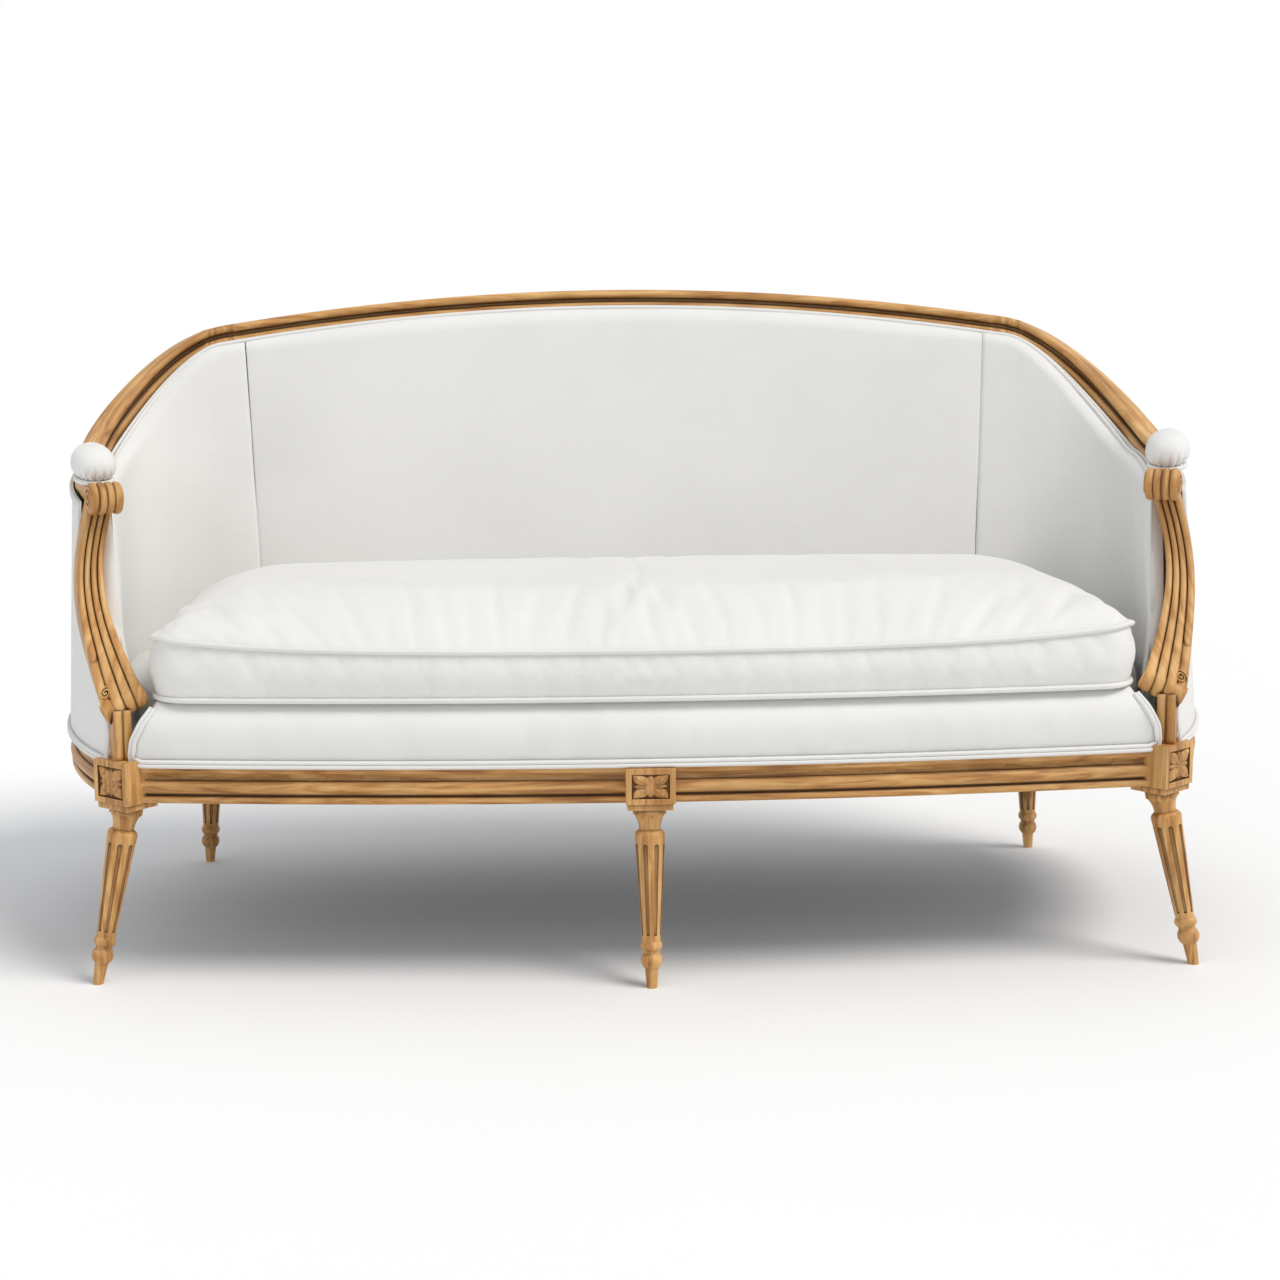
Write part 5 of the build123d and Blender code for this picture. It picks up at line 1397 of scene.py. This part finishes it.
def corner_round(spot, way, centre_y, radius, corner):
    """Rounds a straight side into a wide arc: the rounding's middle, and its first and last ways."""
    centre = Vector((0, centre_y, 0))
    inward = Vector((-way.y, way.x, 0))
    offset = spot + inward * corner - centre
    along = offset.dot(way)
    ahead = -along + (along**2 - offset.length**2 + (radius - corner) ** 2) ** 0.5
    middle = spot + way * ahead + inward * corner
    return middle, -inward, (middle - centre).normalized()


def rounding(middle, first, last, corner, count):
    turn = first.xy.angle_signed(last.xy)
    start = atan2(first.y, first.x)
    angles = spread(start, start - turn, count)
    return [middle + Vector((cos(a), sin(a), 0)) * corner for a in angles]


side_spot = Vector((CUSHION_HALF, CORNER_LEG.y, 0))
back_y, back_radius = LOW_LINE.arcs[0][1], LOW_LINE.arcs[0][2] - CUSHION_BACK_GAP
rear_way = Vector((sin(CUSHION_FLARE), cos(CUSHION_FLARE), 0))
front_way = Vector((sin(CUSHION_FLARE), -cos(CUSHION_FLARE), 0))
rear = corner_round(side_spot, rear_way, back_y, back_radius, REAR_CORNER)
front = corner_round(flipped(side_spot), front_way, FRONT_CENTRE, CUSHION_FRONT, FRONT_CORNER)
front_round = rounding(*front, FRONT_CORNER, FRONT_STEPS)
rear_round = rounding(*rear, REAR_CORNER, REAR_STEPS)
front_half, rear_half = FRONT_STEPS // 2, REAR_STEPS // 2
right_front = [flipped(point) for point in reversed(front_round)]
outline_right = right_front[front_half:] + rear_round[: rear_half + 1]
front_arc = arc_points(CUSHION_FRONT, front_round[-1].x, 0, 90)
front_side = both_halves(front_round[front_half:] + front_arc[1:])
back_xs = spread(rear_round[-1].x, 0, 90)
back_arc = [Vector((x, back_y + (back_radius**2 - x**2) ** 0.5, 0)) for x in back_xs]
back_side = both_halves(rear_round[rear_half:] + back_arc[1:])


def even(points, count):
    """The same line with evenly spaced points."""
    places = np.array([point[:2] for point in points])
    steps = np.hypot(*np.diff(places, axis=0).T)
    run = np.concatenate(([0], np.cumsum(steps)))
    stops = np.linspace(0, run[-1], count)
    return np.stack([np.interp(stops, run, places[:, 0]), np.interp(stops, run, places[:, 1])], 1)


south = even(front_side, CUSHION_COLUMNS)
north = even(list(reversed(back_side)), CUSHION_COLUMNS)
east = even(outline_right, CUSHION_DEPTHS)
west = east * (-1, 1)
share_u = np.linspace(0, 1, CUSHION_COLUMNS)[:, None, None]
share_v = np.linspace(0, 1, CUSHION_DEPTHS)[None, :, None]
between_ends = (1 - share_v) * south[:, None] + share_v * north[:, None]
ruled = between_ends + (1 - share_u) * west[None] + share_u * east[None]
corners = (
    (1 - share_u) * (1 - share_v) * south[0]
    + share_u * (1 - share_v) * south[-1]
    + (1 - share_u) * share_v * north[0]
    + share_u * share_v * north[-1]
)
plan = ruled - corners
rim = np.concatenate([south[:-1], east[:-1], north[::-1][:-1], west[::-1][:-1]])
inside = np.sqrt(((plan[:, :, None] - rim[None, None]) ** 2).sum(-1)).min(-1)
from_corners = [np.hypot(*(plan - corner).transpose(2, 0, 1)) for corner in (south[0], south[-1])]
seam_height = CUSHION_SEAM + CORNER_LIFT * np.exp(-np.minimum(*from_corners) / CORNER_REACH)
top_heights = seam_height + CUSHION_CROWN * (1 - np.exp(-inside / CROWN_REACH))
base_heights = CUSHION_BASE + BASE_ROUND * np.exp(-inside / ROUND_REACH)

cushion_work = bmesh.new()
top_grid, base_grid = (
    [
        [cushion_work.verts.new((*plan[i, j], heights[i, j])) for j in range(CUSHION_DEPTHS)]
        for i in range(CUSHION_COLUMNS)
    ]
    for heights in (top_heights, base_heights)
)


def grid_rim(grid):
    """The outer points of a grid, anticlockwise."""
    front_row = [column[0] for column in grid]
    right_row = list(grid[-1])
    back_row = [column[-1] for column in reversed(grid)]
    left_row = list(reversed(grid[0]))
    return front_row[:-1] + right_row[:-1] + back_row[:-1] + left_row[:-1]


for i in range(CUSHION_COLUMNS - 1):
    for j in range(CUSHION_DEPTHS - 1):
        square = ((i, j), (i + 1, j), (i + 1, j + 1), (i, j + 1))
        cushion_work.faces.new([top_grid[a][b] for a, b in square])
        cushion_work.faces.new([base_grid[a][b] for a, b in reversed(square)])
top_rim = grid_rim(top_grid)
base_rim = grid_rim(base_grid)


def outward(line, i):
    """Level way out of a closed line at one of its points."""
    along = line[(i + 1) % len(line)] - line[i - 1]
    return Vector((along.y, -along.x, 0)).normalized()


top_line = [vert.co for vert in top_rim]
rows = [base_rim]
for share in spread(0, 1, BAND_ROWS + 2)[1:-1]:
    swell = BAND_SWELL * sin(pi * share)
    row = []
    for i, (low, high) in enumerate(zip(base_rim, top_rim)):
        row.append(cushion_work.verts.new(low.co.lerp(high.co, share) + outward(top_line, i) * swell))
    rows.append(row)
tile(cushion_work, rows + [top_rim], closed=True)
cushion_work.verts.index_update()
top_seam = [vert.index for vert in top_rim]
base_seam = [vert.index for vert in base_rim]
held = top_seam + [vert.index for column in base_grid for vert in column]
cushion = smooth_piece("loose_cushion", cushion_work, off_white_linen)


def puff(piece, held, pressure, slack, most, frames=20):
    """Blows up a sewn cover by cloth simulation, its seams held and no point moving further than most."""
    group = piece.vertex_groups.new(name="held")
    group.add(held, 1.0, "REPLACE")
    before = np.empty(len(piece.data.vertices) * 3)
    piece.data.vertices.foreach_get("co", before)
    cloth = piece.modifiers.new("cover", "CLOTH")
    settings = cloth.settings
    settings.vertex_group_mass = "held"
    settings.use_pressure = True
    settings.uniform_pressure_force = pressure
    settings.shrink_min = slack
    settings.quality = 6
    settings.mass = 0.25
    settings.tension_stiffness = 20
    settings.compression_stiffness = 20
    settings.bending_stiffness = 0.6
    settings.effector_weights.gravity = 0
    cloth.collision_settings.use_collision = False
    cloth.point_cache.frame_start = 1
    cloth.point_cache.frame_end = frames
    for number in range(1, frames + 1):
        bpy.context.scene.frame_set(number)
    blown = piece.evaluated_get(bpy.context.evaluated_depsgraph_get())
    after = np.empty_like(before)
    blown.data.vertices.foreach_get("co", after)
    piece.modifiers.remove(cloth)
    piece.vertex_groups.clear()
    bpy.context.scene.frame_set(1)
    move = (after - before).reshape(-1, 3)
    reach = np.linalg.norm(move, axis=1, keepdims=True)
    move *= np.minimum(1, most / np.maximum(reach, 1e-9))
    piece.data.vertices.foreach_set("co", before + move.ravel())
    piece.data.update()


puff(cushion, held, CUSHION_PRESSURE, CUSHION_SLACK, CUSHION_MOVE)
for i in range(CUSHION_COLUMNS):
    for j in range(CUSHION_DEPTHS):
        spot = cushion.data.vertices[i * CUSHION_DEPTHS + j].co
        near_seam = exp(-inside[i, j] / CREASE_REACH) * (1 - exp(-inside[i, j] / ROUND_REACH))
        crease = noise.noise(Vector((spot.x * 46 + spot.y * 30, spot.y * 9, 5)))
        spot.z += CREASE_DEPTH * near_seam * crease
places = [vert.co.copy() for vert in cushion.data.vertices]
subdivide = cushion.modifiers.new("smooth", "SUBSURF")
subdivide.levels = 1
subdivide.render_levels = 1
settle(cushion, "cushion", "linen", "seat_cushion")

for label, seam, lift in (("top", top_seam, 0.0006), ("bottom", base_seam, 0.0)):
    line = [places[index] for index in seam]
    cord = [spot + outward(line, i) * CUSHION_WELT_OUT + plumb(lift) for i, spot in enumerate(line)]
    cushion_welt = welt("cushion_welt_" + label + "_cord", [cord], CUSHION_WELT_RADIUS, closed=True)
    settle(cushion_welt, "cushion", "linen", "cushion_welt_" + label)

# Floor, light and camera
# A plain pale floor that meets a white background, one broad lamp from the upper right and a fill.
# The camera stands at the photograph's eye height, a little left of the middle.
FLOOR_PALE = (0.925, 0.925, 0.925)
FLOOR_PALER = (0.935, 0.935, 0.935)
FLOOR_HALF = 12
ROOM_LIGHT = (0.93, 0.96, 1.0, 1)
LAMP_AIM = plumb(0.45)
EYE = (-0.2013, -3.1010, 0.9127)
EYE_TURN = radians(1.295)
EYE_DOWN = radians(7.951)
EYE_ROLL = radians(0.667)
LENS = 56.67
SHIFT = (0.0764, -0.0303)

floor_tones = (FLOOR_PALE, FLOOR_PALER)
floor_paint = two_tone(
    "pale_floor", floor_tones, (0.3, 0.7), (1.5, 1.5, 1.5), Roughness=0.9, Specular_IOR_Level=0.1
)
floor_mesh = bpy.data.meshes.new("floor")
floor_corners = [(x * FLOOR_HALF, y * FLOOR_HALF, 0) for x, y in ((-1, -1), (1, -1), (1, 1), (-1, 1))]
floor_mesh.from_pydata(floor_corners, [], [(0, 1, 2, 3)])
floor = piece_of("floor", floor_mesh, floor_paint)

world = bpy.data.worlds.new("white_room")
bpy.context.scene.world = world
world.use_nodes = True
room = Graph(world.node_tree)
rays = world.node_tree.nodes.new("ShaderNodeLightPath").outputs
seen = room.math("MAXIMUM", rays["Is Camera Ray"], rays["Is Glossy Ray"])
seen = room.math("MAXIMUM", seen, rays["Is Transmission Ray"])
lit = room.add("ShaderNodeBackground", {"Color": ROOM_LIGHT, "Strength": 0.6})
white = room.add("ShaderNodeBackground", {"Color": (1, 1, 1, 1), "Strength": 1.0})
sky = room.add("ShaderNodeMixShader", {0: seen, 1: lit, 2: white})
room.join(world.node_tree.nodes["World Output"].inputs[0], sky)


def sun(name, power, breadth, place, colour):
    """A lamp aimed at the seat that lights the floor evenly as far as it reaches."""
    light = bpy.data.lights.new(name, "SUN")
    light.energy = power
    light.color = colour
    light.angle = breadth
    holder = piece_of(name, light)
    holder.location = place
    holder.rotation_euler = (LAMP_AIM - Vector(place)).to_track_quat("-Z", "Y").to_euler()


sun("key", 1.8, radians(28), (2.2, -1.2, 4.2), (1.0, 0.97, 0.92))
sun("fill", 0.35, radians(60), (-2.8, -3.2, 2.2), (0.95, 0.97, 1.0))

camera_data = bpy.data.cameras.new("camera")
camera_data.sensor_width = 36
camera_data.lens = LENS
camera_data.shift_x, camera_data.shift_y = SHIFT
camera = piece_of("camera", camera_data)
camera.location = EYE
camera.rotation_euler = (pi / 2 - EYE_DOWN, EYE_ROLL, -EYE_TURN)
bpy.context.scene.camera = camera
bpy.context.scene.view_settings.view_transform = "Standard"
